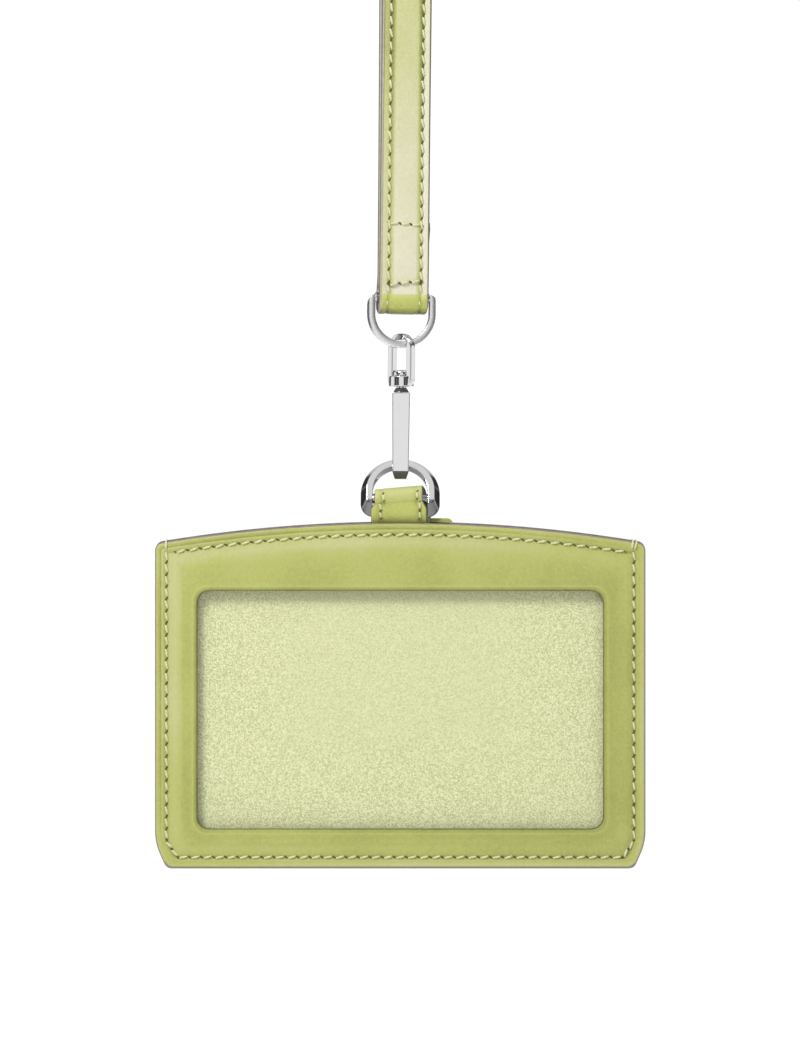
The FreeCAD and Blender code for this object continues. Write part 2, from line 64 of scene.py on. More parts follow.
CARD_HALF, CARD_LIGHT, ROOM_LIGHT, CEILING_LIGHT, FLANK_LIGHT = 0.32, 0.84, 0.06, 0.66, 0.8
STREAK_LIGHT, BACKDROP_LIGHT = 0.3, 1.05
FLOOR_RADIUS, FLOOR_HEIGHT = 1.6, -0.8
LENS, CAMERA_BACK, CAMERA_ASIDE, CAMERA_BELOW = 135, 0.801, 0.05 * MM, 1.82 * MM
KEY_PLACE, KEY_RADIUS, KEY_POWER = Vector((-0.29, -0.42, 0.48)), 0.1, 11.5
FILL_PLACE, FILL_SIZE, FILL_POWER = Vector((0.6, -1.1, -0.45)), 0.8, 2.2
REAR_PLACE, REAR_RADIUS, REAR_POWER = Vector((0.5, 1.3, 0.7)), 0.35, 48.0


def in_scene(name, data, place=(0, 0, 0)):
    obj = bpy.data.objects.new(name, data)
    obj.location = place
    bpy.context.collection.objects.link(obj)
    return obj


def add_camera():
    data = bpy.data.cameras.new("camera")
    data.lens = LENS
    data.clip_start, data.clip_end = 0.05, 40
    place = (bar_place.x - CAMERA_ASIDE, -CAMERA_BACK, panel_high[2] - CAMERA_BELOW)
    camera = in_scene("camera", data, place)
    camera.rotation_euler = (math.pi / 2, 0, 0)
    bpy.context.scene.camera = camera


def add_lamp(name, place, radius, power, mirrored):
    """A round diffuser that shines all round. mirrored says whether polished metal shows it."""
    data = bpy.data.lights.new(name, "POINT")
    data.shadow_soft_size, data.energy = radius, power
    light = in_scene(name, data, place)
    light.visible_camera, light.visible_glossy = False, mirrored


def add_softbox(name, place, target, size, power):
    data = bpy.data.lights.new(name, "AREA")
    data.shape, data.size, data.energy = "SQUARE", size, power
    light = in_scene(name, data, place)
    light.visible_camera, light.visible_glossy = False, False
    light.rotation_euler = (target - place).to_track_quat("-Z", "Y").to_euler()


def add_world():
    """A dim room with a bright card in front and behind and a lighter ceiling, which polished metal mirrors.
    What the camera sees directly is a plain white backdrop."""
    world = bpy.data.worlds.new("studio")
    bpy.context.scene.world = world
    world.use_nodes = True
    tree = world.node_tree
    tree.nodes.clear()
    split = add_node(tree, "SeparateXYZ", {0: add_node(tree, "TexCoord").outputs["Generated"]})
    sideways = add_math(tree, "ABSOLUTE", split.outputs["X"], 0.0)
    upright = add_math(tree, "ABSOLUTE", split.outputs["Z"], 0.0)
    card = add_ramp(tree, add_math(tree, "MAXIMUM", sideways, upright),
                    [(CARD_HALF, grey(CARD_LIGHT)), (CARD_HALF + 0.08, grey(ROOM_LIGHT))])
    ceiling = add_ramp(tree, split.outputs["Z"], [(0.45, grey(0)), (0.72, grey(CEILING_LIGHT))])
    flank = add_ramp(tree, sideways, [(0.64, grey(0)), (0.67, grey(STREAK_LIGHT)), (0.7, grey(0)),
                                      (0.9, grey(0)), (0.95, grey(FLANK_LIGHT))])
    room = add_node(tree, "Background", {"Color": add_sum(tree, card, ceiling, flank)})
    backdrop = add_node(tree, "Background", Strength=BACKDROP_LIGHT, Color=grey(1))
    seen = add_node(tree, "LightPath").outputs["Is Camera Ray"]
    mix = add_node(tree, "MixShader", {0: seen, 1: room.outputs[0], 2: backdrop.outputs[0]})
    add_node(tree, "OutputWorld", {"Surface": mix.outputs[0]})


def add_floor():
    mesh = bpy.data.meshes.new("floor")
    form = bmesh.new()
    bmesh.ops.create_circle(form, cap_ends=True, segments=96, radius=FLOOR_RADIUS)
    form.to_mesh(mesh)
    form.free()
    floor = in_scene("floor", mesh, (0, 0, FLOOR_HEIGHT))
    material, shader = new_material("pale_floor")[:2]
    preset(shader, Base_Color=grey(0.86), Roughness=0.9)
    floor.data.materials.append(material)


# ---- Materials ----

def srgb(red, green, blue):
    """A linear colour from the usual 0 to 255 values."""
    def linear(value):
        share = value / 255
        return share / 12.92 if share <= 0.04045 else ((share + 0.055) / 1.055) ** 2.4
    return (linear(red), linear(green), linear(blue), 1.0)


def grey(value):
    return (value, value, value, 1.0)


def darker(colour, share):
    return tuple(share * part for part in colour[:3]) + (1.0,)


def preset(node, **values):
    """Sets a node's inputs. In their names an underscore stands for a space."""
    for name, value in values.items():
        node.inputs[name.replace("_", " ")].default_value = value


def add_node(tree, kind, wires=None, **values):
    """A shader node. wires gives the source of each of its linked inputs."""
    node = tree.nodes.new("ShaderNode" + kind)
    preset(node, **values)
    for socket, source in (wires or {}).items():
        tree.links.new(source, node.inputs[socket])
    return node


def new_material(name):
    material = bpy.data.materials.new(name)
    material.use_nodes = True
    tree = material.node_tree
    return material, tree.nodes["Principled BSDF"], tree, add_node(tree, "TexCoord").outputs["Object"]


def add_noise(tree, coord, size, detail=3.0, roughness=0.55):
    """Noise whose features are about size metres across."""
    node = add_node(tree, "TexNoise", {"Vector": coord}, Scale=1 / size, Detail=detail, Roughness=roughness)
    return node.outputs["Fac"]


def add_cells(tree, coord, size):
    """Rounded cells about size metres across, as in pebbled grain."""
    node = add_node(tree, "TexVoronoi", {"Vector": coord})
    node.feature = "SMOOTH_F1"
    preset(node, Scale=1 / size, Smoothness=0.6)
    return node.outputs["Distance"]


def add_math(tree, operation, first, second):
    node = tree.nodes.new("ShaderNodeMath")
    node.operation = operation
    for socket, value in zip(node.inputs, (first, second)):
        if isinstance(value, (int, float)):
            socket.default_value = value
        else:
            tree.links.new(value, socket)
    return node.outputs[0]


def add_sum(tree, first, *others):
    for other in others:
        first = add_math(tree, "ADD", first, other)
    return first


def add_swing(tree, source, middle, gain):
    """How far a source is from its middle, times a gain."""
    return add_math(tree, "MULTIPLY", add_math(tree, "SUBTRACT", source, middle), gain)


def add_ramp(tree, source, stops):
    node = tree.nodes.new("ShaderNodeValToRGB")
    elements = node.color_ramp.elements
    while len(elements) < len(stops):
        elements.new(0.5)
    for element, (position, colour) in zip(elements, stops):
        element.position, element.color = position, colour
    tree.links.new(source, node.inputs[0])
    return node.outputs[0]


def add_range(tree, source, low, high):
    return add_node(tree, "MapRange", {"Value": source}, To_Min=low, To_Max=high).outputs[0]


def add_bump(tree, height, depth, strength, under=None):
    wires = {"Height": height} if under is None else {"Height": height, "Normal": under}
    return add_node(tree, "Bump", wires, Distance=depth, Strength=strength).outputs[0]


def paint(tree, shader, source, stops):
    tree.links.new(add_ramp(tree, source, stops), shader.inputs["Base Color"])


def emboss(tree, shader, height, depth, strength):
    tree.links.new(add_bump(tree, height, depth, strength), shader.inputs["Normal"])


def gloss(tree, shader, source, low, high):
    tree.links.new(add_range(tree, source, low, high), shader.inputs["Roughness"])


def tone_of(tree):
    """The piece's tone attribute. On leather, edge paint and metal it runs from 0, a painted highlight,
    through 0.5, plain, to 1, painted shade in creases and recesses; on the lining it is the nap's strength.
    """
    node = tree.nodes.new("ShaderNodeAttribute")
    node.attribute_name = "tone"
    return node.outputs["Fac"]


GRAIN, FLECK, CLOUD = 0.00042, 0.0007, 0.018     # sizes of the leather's pores, flecks and clouds
MOTTLE_DEPTH, PORE_DEPTH, LEATHER_GLOSS = 0.34, 0.09, 0.4


def leather(name, pale, plain, painted_crease, fleck_depth):
    material, shader, tree, coord = new_material(name)
    cloud = add_noise(tree, coord, CLOUD, 4.0)
    fleck = add_noise(tree, coord, FLECK, 2.0)
    cells = add_cells(tree, coord, GRAIN)
    # The tone attribute carries painted light: below 0.5 a painted highlight, paler, above it painted shade,
    # darker. Random clouds, flecks and pores vary it.
    shade = add_sum(tree, tone_of(tree), add_swing(tree, cloud, 0.5, MOTTLE_DEPTH),
                    add_swing(tree, fleck, 0.5, fleck_depth), add_swing(tree, cells, 0.35, PORE_DEPTH))
    paint(tree, shader, shade, [(0.1, pale), (0.5, plain), (0.84, painted_crease), (1.0, darker(painted_crease, 0.35))])
    gloss(tree, shader, cloud, LEATHER_GLOSS - 0.07, LEATHER_GLOSS + 0.09)
    pebbles = add_bump(tree, cells, 0.00005, 0.75)
    skin_bump = add_bump(tree, add_noise(tree, coord, 0.00016, 2.0), 0.000012, 0.8, pebbles)
    tree.links.new(skin_bump, shader.inputs["Normal"])
    preset(shader, Specular_IOR_Level=0.42, Sheen_Weight=0.06)
    return material


def suede(name, pale, plain):
    """Fine-napped lining. Its tone says how strong the nap is, from 0, rubbed smooth, to 1."""
    material, shader, tree, coord = new_material(name)
    nap = add_noise(tree, coord, 0.00026, 1.0)
    pit = add_noise(tree, coord, 0.00015, 1.0)
    both = add_sum(tree, nap, pit, -1.0)
    shade = add_math(tree, "ADD", add_math(tree, "MULTIPLY", both, tone_of(tree)), 0.5)
    paint(tree, shader, shade, [(0.4, plain), (0.6, pale)])
    preset(shader, Roughness=0.82, Specular_IOR_Level=0.25, Sheen_Weight=0.18)
    emboss(tree, shader, nap, 0.00006, 0.7)
    return material


def edge_paint(name, light, dark):
    """The rubbery paint on cut leather edges."""
    material, shader, tree, coord = new_material(name)
    streak = add_noise(tree, coord, 0.0016, 4.0)
    # The tone attribute darkens it: painted shade on outlines and on edges turned away from the light.
    shade = add_math(tree, "ADD", tone_of(tree), add_math(tree, "MULTIPLY", streak, 0.3))
    paint(tree, shader, shade, [(0.58, light), (0.72, dark), (1.0, darker(dark, 0.5))])
    gloss(tree, shader, streak, 0.34, 0.5)
    emboss(tree, shader, add_noise(tree, coord, 0.0005, 3.0), 0.00005, 0.7)
    return material


def fibrous(name, noise_sizes, stops, roughness, relief=None, sheen=0.0):
    """A dull material of fine fibres. relief is their height and strength."""
    material, shader, tree, coord = new_material(name)
    fibre = add_noise(tree, coord, *noise_sizes)
    paint(tree, shader, fibre, stops)
    preset(shader, Roughness=roughness, Sheen_Weight=sheen)
    if relief:
        emboss(tree, shader, fibre, *relief)
    return material


def metal(name, colour, rough_low, rough_high, metallic=1.0):
    material, shader, tree, coord = new_material(name)
    preset(shader, Metallic=metallic)
    haze = add_noise(tree, coord, 0.0022, 4.0)
    # The tone attribute paints shade and dark reflections into the colour: 0.5 is the bare metal, darker
    # towards 1.
    shade = add_math(tree, "ADD", tone_of(tree), add_math(tree, "MULTIPLY", haze, 0.04))
    paint(tree, shader, shade, [(0.5, colour), (0.55, darker(colour, 0.93)), (0.95, darker(colour, 0.16))])
    gloss(tree, shader, haze, rough_low, rough_high)
    emboss(tree, shader, add_noise(tree, coord, 0.0009, 2.0), 0.000008, 0.5)
    return material


def film_material():
    material, shader, tree, coord = new_material("clear_film")
    haze = add_noise(tree, coord, 0.02, 2.0)
    gloss(tree, shader, haze, 0.05, 0.16)
    preset(shader, Base_Color=(0.95, 0.96, 0.92, 1), Alpha=0.035)
    emboss(tree, shader, haze, 0.0004, 0.4)
    return material


STRAP_LEATHER = leather("strap_leather", srgb(241, 236, 213), srgb(208, 210, 142), srgb(148, 152, 80), 0.16)
# A lighter, more saturated copy of the leather: painted light for the band under the strap's fold and the
# tab's lower leg.
PAINTED_LIGHT_LEATHER = leather("leather_with_painted_light", srgb(222, 224, 150), srgb(208, 213, 116), srgb(148, 152, 80), 0.16)
PANEL_LEATHER = leather("panel_leather", srgb(217, 217, 164), srgb(192, 196, 110), srgb(138, 142, 68), 0.14)
# Two copies of one edge paint: a darker one with painted shade for the holder, tab and inner layers, and a
# lighter one for the strap, whose edge faces the light.
SHADED_EDGE_PAINT = edge_paint("edge_paint", srgb(150, 143, 132), srgb(122, 114, 108))
LIT_EDGE_PAINT = edge_paint("strap_edge_paint", srgb(200, 195, 178), srgb(172, 166, 148))
LINING = suede("napped_lining", srgb(250, 252, 204), srgb(200, 204, 138))
THREAD = fibrous("waxed_thread", (0.00022, 3.0, 0.7),
                 [(0.3, srgb(206, 208, 146)), (0.65, srgb(238, 238, 198))], 0.5, (0.00004, 0.8), 0.2)
# Dark olive for the needle slits: painted shade standing in for the holes' depth.
HOLE_SHADE = fibrous("needle_hole_shade", (0.0003, 2.0), [(0.3, srgb(84, 84, 36)), (0.7, srgb(112, 112, 54))], 0.9)
CHROME = metal("polished_metal", (0.91, 0.905, 0.91, 1.0), 0.05, 0.12)
SATIN = metal("satin_metal", (0.98, 0.96, 0.98, 1.0), 0.22, 0.3)
# A dark, barely metallic copy of the metal: painted shade and dark reflection on the hook's chamfer and neck.
SHADED_METAL = metal("shaded_metal", (0.1, 0.1, 0.105, 1.0), 0.18, 0.3, 0.15)
SPRING_STEEL = metal("spring_steel", (0.62, 0.62, 0.64, 1.0), 0.2, 0.32)
FILM = film_material()
BOARD = fibrous("fibre_board", (0.0006, 4.0, 0.7), [(0.3, srgb(150, 132, 108)), (0.7, srgb(184, 168, 142))],
                0.9, (0.00006, 0.6))


# ---- Mesh helpers ----

def bell(value, middle, width):
    """1 at the middle, falling away on both sides."""
    return math.exp(-((value - middle) / width) ** 2)


def share_of(value):
    return min(1.0, max(0.0, value))


def skin(name, shells, matrix, materials, material_at=None, tone_at=None, shell_slots=None):
    """Skins lists of closed rings. A shell is (rings, joined): joined shells close on themselves, and
    others get a flat cap at both ends. material_at and tone_at take the ring's and the point's place in
    the shell, and shell_slots gives each shell one material."""
    verts, faces, slots, tones = [], [], [], []
    for number, (rings, joined) in enumerate(shells):
        start, count = len(verts), len(rings[0])

        def slot_at(i, j):
            if material_at:
                return material_at(i, j)
            return shell_slots[number] if shell_slots else 0
        for i, ring in enumerate(rings):
            for j, point in enumerate(ring):
                verts.append(matrix @ Vector(point))
                tones.append(tone_at(i, j, point) if tone_at else 0.5)
        last = len(rings) if joined else len(rings) - 1
        for i in range(last):
            here, there = start + i * count, start + (i + 1) % len(rings) * count
            for j in range(count):
                k = (j + 1) % count
                faces.append((here + j, here + k, there + k, there + j))
                slots.append(slot_at(i, j))
        if not joined:
            end = start + (len(rings) - 1) * count
            faces.append(tuple(reversed(range(start, start + count))))
            faces.append(tuple(range(end, end + count)))
            slots += [slot_at(0, 0), slot_at(last - 1, 0)]
    return finished_mesh(name, verts, faces, materials, slots, tones)


def finished_mesh(name, verts, faces, materials, slots, tones):
    mesh = bpy.data.meshes.new(name)
    mesh.from_pydata(verts, [], faces)
    for material in materials:
        mesh.materials.append(material)
    mesh.polygons.foreach_set("material_index", slots)
    mesh.attributes.new("tone", "FLOAT", "POINT").data.foreach_set("value", tones)
    form = bmesh.new()
    form.from_mesh(mesh)
    bmesh.ops.recalc_face_normals(form, faces=form.faces)
    form.to_mesh(mesh)
    form.free()
    mesh.polygons.foreach_set("use_smooth", [True] * len(mesh.polygons))
    mesh.set_sharp_from_angle(angle=math.radians(50))
    return in_scene(name, mesh)


def crisp(piece):
    """Shades a metal piece's wide faces flat, so that only its narrow rounded edges turn the light."""
    weights = piece.modifiers.new("weights", "WEIGHTED_NORMAL")
    weights.weight, weights.keep_sharp = 100, True
    depsgraph = bpy.context.evaluated_depsgraph_get()
    made = bpy.data.meshes.new_from_object(piece.evaluated_get(depsgraph), preserve_all_data_layers=True,
                                           depsgraph=depsgraph)
    piece.modifiers.clear()
    piece.data = made
    return piece


def stands_for(piece, body, slot, *nodes):
    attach(piece, body)
    if nodes:
        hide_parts(*nodes)
    return piece


def corner_curve(before, corner, after, radius, count):
    """count points round one corner."""
    before, corner, after = Vector(before), Vector(corner), Vector(after)
    start = corner + (before - corner).normalized() * radius
    end = corner + (after - corner).normalized() * radius
    return [start * (1 - t) ** 2 + corner * 2 * t * (1 - t) + end * t ** 2
            for t in (k / (count - 1) for k in range(count))]


def rounded(corners, radius):
    """A closed 2-D polygon with its corners rounded, and a point half way along each side."""
    points = []
    for before, corner, after in zip(corners[-1:] + corners[:-1], corners, corners[1:] + corners[:1]):
        reach = min(radius, 0.49 * math.dist(before, corner), 0.49 * math.dist(after, corner))
        points += corner_curve(before, corner, after, reach, 4)
        points.append((Vector(corner) + Vector(after)) / 2)
    return points


def turned(profile, centre, axis, segments=32):
    """Rings of a turned part: profile is (distance along the axis, radius)."""
    axis = Vector(axis)
    side = axis.orthogonal().normalized()
    other = axis.cross(side)
    return [[Vector(centre) + axis * along
             + (side * math.cos(a) + other * math.sin(a)) * radius
             for a in (2 * math.pi * k / segments for k in range(segments))]
            for along, radius in profile]


def smooth_line(name, route):
    """Points along the NURBS spline that has the route as its control points, in the route's units."""
    curve = bpy.data.curves.new(name, "CURVE")
    curve.dimensions = "3D"
    spline = curve.splines.new("NURBS")
    spline.points.add(len(route) - 1)
    for point, place in zip(spline.points, route):
        point.co = (*place, 1)
    spline.order_u = 3
    spline.use_endpoint_u = True
    spline.resolution_u = 24
    carrier = bpy.data.objects.new(name, curve)
    mesh = bpy.data.meshes.new_from_object(carrier)
    points = [vertex.co.copy() for vertex in mesh.vertices]
    bpy.data.objects.remove(carrier)
    bpy.data.meshes.remove(mesh)
    return points


def evenly(points, step):
    """The same line with points a step apart."""
    lengths = [0.0]
    for a, b in zip(points, points[1:]):
        lengths.append(lengths[-1] + (b - a).length)
    count = max(2, round(lengths[-1] / step))
    even, k = [], 0
    for i in range(count + 1):
        target = lengths[-1] * i / count
        while k < len(points) - 2 and lengths[k + 1] < target:
            k += 1
        span = lengths[k + 1] - lengths[k]
        even.append(points[k].lerp(points[k + 1], (target - lengths[k]) / span if span else 0))
    return even


def stations(points):
    """Each point of a line in the YZ plane with its direction, its sideways axis and its outward normal."""
    placed = []
    for i, point in enumerate(points):
        along = (points[min(i + 1, len(points) - 1)] - points[max(i - 1, 0)]).normalized()
        across = (Vector((1, 0, 0)) - along * along.x).normalized()
        placed.append((point, along, across, across.cross(along)))
    return placed


# ---- Stitching ----

THREAD_WIDTH = 0.46
STITCH_RINGS, STITCH_SIDES = 9, 8


def stitch_shell(centre, along, up, length):
    """One stitch of two-ply thread, which comes out of one hole, arches and goes into the next."""
    along = along.normalized()
    up = (up - along * up.dot(along)).normalized()
    side = along.cross(up)
    rings = []
    for i in range(STITCH_RINGS):
        t = -1 + 2 * i / (STITCH_RINGS - 1)
        middle = centre + along * (t * length / 2) + up * (THREAD_WIDTH * (0.34 - 0.62 * t ** 6))
        swell = 0.5 * THREAD_WIDTH * max(0.35, (1 - t ** 8)) * (1 - 0.12 * t * t)
        ring = []
        for k in range(STITCH_SIDES):
            a = 2 * math.pi * k / STITCH_SIDES
            ply = 1 + 0.13 * math.cos(2 * (a - 3.4 * t))
            ring.append(middle + (side * math.cos(a) + up * 0.82 * math.sin(a)) * swell * ply)
        rings.append(ring)
    return rings, False


SLIT_TURN, THREAD_TURN, TURN_SPREAD = math.radians(-40), math.radians(13), 0.06
SLIT_SIDES, SLIT_DISH = 12, ((0.25, 0.03), (0.7, 0.045), (1.0, 0.06), (1.0, -0.06), (0.3, -0.08))
THREAD_SHARE, SLIT_AT = 0.92, (-0.6, 0.6)     # of the stitch's length


def slit_shell(centre, along, up, length, width):
    """A needle slit: a thin dark dished leaf shape that lies on the leather, aslant to the seam. Its darkness
    is painted shade for the hole's depth.
    """
    along = Matrix.Rotation(SLIT_TURN, 3, up) @ along
    side = up.cross(along)
    leaf = []
    for k in range(SLIT_SIDES):
        a = 2 * math.pi * k / SLIT_SIDES
        reach = math.copysign(abs(math.sin(a)) ** 1.5, math.sin(a))
        leaf.append(along * math.cos(a) * length / 2 + side * reach * width / 2)
    return [[centre + up * lift + point * share for point in leaf] for share, lift in SLIT_DISH], False


def sewing(name, stitches, matrix, body, nodes=(), slit=(0.88, 0.34), wraps=()):
    """Rows of stitches, each (centre, direction, normal, length), with a slit at each one's start and end.
    wraps are stitches that go over an edge and have no slits."""
    threads, slits = [stitch_shell(*wrap) for wrap in wraps], []
    for centre, along, up, length in stitches:
        seam = (along - up * along.dot(up)).normalized()
        thread = Matrix.Rotation(THREAD_TURN + random.uniform(-TURN_SPREAD, TURN_SPREAD), 3, up) @ seam
        threads.append(stitch_shell(centre, thread, up, length * THREAD_SHARE))
        for end in SLIT_AT:
            if up.z > -0.6:
                slits.append(slit_shell(centre + seam * length * end, seam, up, *slit))
    piece = skin(name, threads + slits, matrix, [THREAD, HOLE_SHADE],
                 shell_slots=[0] * len(threads) + [1] * len(slits))
    return stands_for(piece, body, "thread", *nodes)


# ---- Lanyard straps ----

STRAP_HALF, STRAP_THICK = 5.0, 2.2
SEAM_AT, SEAM_PITCH, SEAM_STITCH, SEAM_START = 3.28, 2.55, 2.1, 1.5
FACE_STOPS = (0.0, 1.1, 2.1, 2.75, 3.02, 3.14, SEAM_AT, 3.42, 3.54, 3.8, 4.25, 4.5, 4.62)
EDGE_STOPS = ((4.78, 0.9), (4.91, 0.68), (4.98, 0.36), (5.0, 0.0))


def face_height(u):
    """Half the strap's thickness at u: crowned, with a sewn groove."""
    groove, valley = 0.1 * bell(u, SEAM_AT, 0.17), 0.08 * bell(u, SEAM_AT, 0.75)
    return STRAP_THICK / 2 - 0.05 * (u / STRAP_HALF) ** 4 - groove - valley


def whole_section(quarter):
    """A closed section from its upper right quarter."""
    right = quarter + [(u, -v) for u, v in reversed(quarter[:-1])]
    return right + [(-u, v) for u, v in reversed(right[1:-1])]


def painted_sides(section, edge):
    """Which sides of a section lie wholly beyond the edge, and so are painted."""
    following = section[1:] + section[:1]
    return [abs(here[0]) >= edge and abs(ahead[0]) >= edge for here, ahead in zip(section, following)]


def strap_section():
    """The strap's closed section as (across, out), and which of its sides are painted edge."""
    quarter = [(u, face_height(u)) for u in FACE_STOPS]
    quarter += [(u, share * face_height(FACE_STOPS[-1])) for u, share in EDGE_STOPS]
    section = whole_section(quarter)
    return section, painted_sides(section, FACE_STOPS[-1] - 0.01)


def strap_piece(name, line, fold_height):
    """Sweeps the strap's section along a line, paler above the fold where a painted highlight falls, with
    painted shade under it.
    """
    section, painted = strap_section()
    placed = stations(line)
    rings = []
    for i, (point, along, across, out) in enumerate(placed):
        end = min(i, len(placed) - 1 - i)
        squeeze = 0.9 if end == 0 else 1.0
        wave = 0.05 * noise.noise(point * 0.06)
        rings.append([point + across * (u * (1 + 0.004 * wave)) * (1 if end else 0.97)
                      + out * (v * squeeze + wave) for u, v in section])

    # Painted light from the upper left: paler down the middle and on the right border, a little paler on the
    # left border, painted shade in the seam grooves and in thin lines just inside both edges, darker towards
    # the top, a painted highlight just above the fold and painted shade at the fold's lower edge. On the
    # painted edge, a painted shade outline, darker on the right.
    def tone(i, j, _):
        u, z = section[j][0], placed[i][0].z - fold_height
        if abs(u) > 4.62:
            return 0.5 + 0.5 * (abs(u) > 4.95) + 0.3 * (u > 0)
        seam = 0.16 * bell(abs(u), SEAM_AT, 0.3)
        middle = -0.34 * (abs(u) < 2.6)
        border = -0.2 * (-4.55 < u < -3.5) + 0.15 * (u < -4.55) - 0.6 * (3.5 < u < 4.55) + 0.3 * (u > 4.55)
        climb = 0.3 * share_of((z - 14) / 45)
        if z < 0.2:
            return 0.5 + seam + 0.4 * (z < -1.95)
        return 0.5 + seam + middle + border + climb - 0.1 * bell(z, 1.1, 0.9)

    # Under the fold the front strap gets the lighter, more saturated copy of the leather: painted light for
    # its downward-facing band.
    def material(i, j):
        if painted[j]:
            return 1
        return 2 if name.startswith("front") and placed[i][0].z < fold_height + 0.2 else 0
    return skin(name, [(rings, False)], LANYARD, [STRAP_LEATHER, LIT_EDGE_PAINT, PAINTED_LIGHT_LEATHER], material, tone)


def side_seams(line, skip_inner):
    """Stitches down both sides of a strap, on its outside and its inside. The inside has none for the
    first skip_inner millimetres, where another layer lies on it."""
    placed = stations(evenly(line, SEAM_PITCH))
    stitches = []
    for i, (point, along, across, out) in enumerate(placed[:-1]):
        middle = point.lerp(placed[i + 1][0], 0.5)
        for face in (1, -1):
            if i * SEAM_PITCH < SEAM_START or (face < 0 and i * SEAM_PITCH < skip_inner):
                continue
            for side in (-1, 1):
                up = out * face
                place = middle + across * side * SEAM_AT + up * (face_height(SEAM_AT) + 0.06)
                stitches.append((place, along, up, SEAM_STITCH))
    return stitches


def polygon_round(centre_z, radius, degrees):
    """Corners, in metres, of a polygon whose sides touch a circle about (0, centre_z)."""
    reach = radius / math.cos(math.radians(22.5))
    return [(0.0, reach * math.cos(math.radians(a)), centre_z + reach * math.sin(math.radians(a)))
            for a in degrees]


FRONT_ROUTE = (
    [(0.0011, 0.00225, -0.3794)]
    + polygon_round(-0.395, 0.00225, (-22.5, -67.5, -112.5, -157.5))
    + [(0, -0.00225, -0.365), (0, -0.0036, -0.285), (0, -0.0084, -0.190), (0, -0.0140, -0.100),
       (0, -0.0171, -0.045)]
    + polygon_round(-0.016, 0.0171, (157.5, 112.5, 67.5, 22.5))
    + [(0, 0.0171, -0.040)]
)
BACK_ROUTE = [
    (0, 0, -0.3934), (0, 0, -0.368), (0, 0.0018, -0.290), (0, 0.0080, -0.195),
    (0, 0.0152, -0.105), (0, 0.01935, -0.055), (0, 0.01935, -0.012),
]
BOX_ROWS = ((2.84, 0.13), (14.6, -0.06))     # height above the bar, and slant
LAP_ROWS = (-16.0, -36.0)
ROW_PITCH, ROW_STITCH = 2.2, 1.95
TAIL, SANDWICH = 34.0, 18.0                  # lengths of strap whose inside is covered, from their ends
FOLD_RADIUS, LAP_DEPTH, STRAP_STEP = 2.25, 19.35, 1.1


def cross_rows(name, rows, y, out, node):
    """Short rows of three stitches across a strap. rows are (height, slant)."""
    stitches = []
    for height, slant in rows:
        along = Vector((1, 0, slant)).normalized()
        stitches += [(Vector((0, y, height)) + along * k * ROW_PITCH, along, out, ROW_STITCH)
                     for k in (-1, 0, 1)]
    return sewing(name, stitches, LANYARD, "strap", [node])


def add_straps():
    front_line = smooth_line("front_line", FRONT_ROUTE)
    back_line = smooth_line("back_line", BACK_ROUTE)
    forward = Vector((0, -1, 0))
    box_thread = cross_rows("box_stitching", [(rise - DROP, slant) for rise, slant in BOX_ROWS],
                            -FOLD_RADIUS - face_height(0), forward, "strap_box_thread")
    lap_thread = cross_rows("nape_stitching", [(height, 0) for height in LAP_ROWS],
                            LAP_DEPTH + face_height(0), -forward, "nape_thread")
    for name, line, length, skip, own_thread in (
            ("front_strap", front_line, 0.480, TAIL, box_thread),
            ("back_strap", back_line, 0.382, SANDWICH, lap_thread)):
        lanyard_line = [point / MM for point in line]
        even = evenly(lanyard_line, STRAP_STEP)
        strap = strap_piece(name + "_leather", even, -DROP)
        seams = side_seams(lanyard_line, skip)
        if name == "back_strap":
            seams = [seam for seam in seams if seam[0].z > SANDWICH - DROP]
        stitching = sewing(name + "_stitching", seams, LANYARD, "strap")
        stands_for(strap, "strap", "strap_leather", name)


# ---- Rings, eye and hook ----

RING_INNER, BAR_RADIUS = 5.5, 1.05
BAR_TURNED = ((-6.1, 0.3), (-5.9, 0.5), (-5.6, 0.55), (-5.5, 0.98), (-5.2, BAR_RADIUS), (0, BAR_RADIUS),
              (5.2, BAR_RADIUS), (5.5, 0.98), (5.6, 0.55), (5.9, 0.5), (6.1, 0.3))
UPPER_RING = dict(face=1.3, flare=0.2, depth=1.6, centre=3.2, feet=(-0.6, -0.7), corners=(1.0, 2.0))
# Painted shade and dark reflection on the rings' inner edges.
INNER_PAINTED_SHADE = {0: 0.85, 1: 0.7, 16: 0.7, 17: 0.9, 18: 0.95, 19: 0.95}     # by the section's points
# Painted dark reflection on the lower ring's outer flare.
OUTER_PAINTED_SHADE = {7: 0.6, 8: 0.75, 9: 0.8, 10: 0.8, 11: 0.6}
LOWER_RING = dict(face=1.35, flare=1.15, depth=2.1, centre=1.3, feet=(-1.3, -3.6), corners=(1.0, 2.6))
UPPER_PLACE = LANYARD @ Matrix.Translation((0, 0, -DROP)) @ Matrix.Rotation(math.pi, 4, "Y")
LOWER_LEAN = math.radians(24)
LOWER_PLACE = CHAIN @ Matrix.Translation((0, -0.62, -40.35)) @ Matrix.Rotation(-LOWER_LEAN, 4, "X")


def foot_loss(height, corner):
    """How much narrower a rounded foot is, a height above its end."""
    if height >= corner:
        return 0.0
    return corner - math.sqrt(corner ** 2 - (corner - height) ** 2)


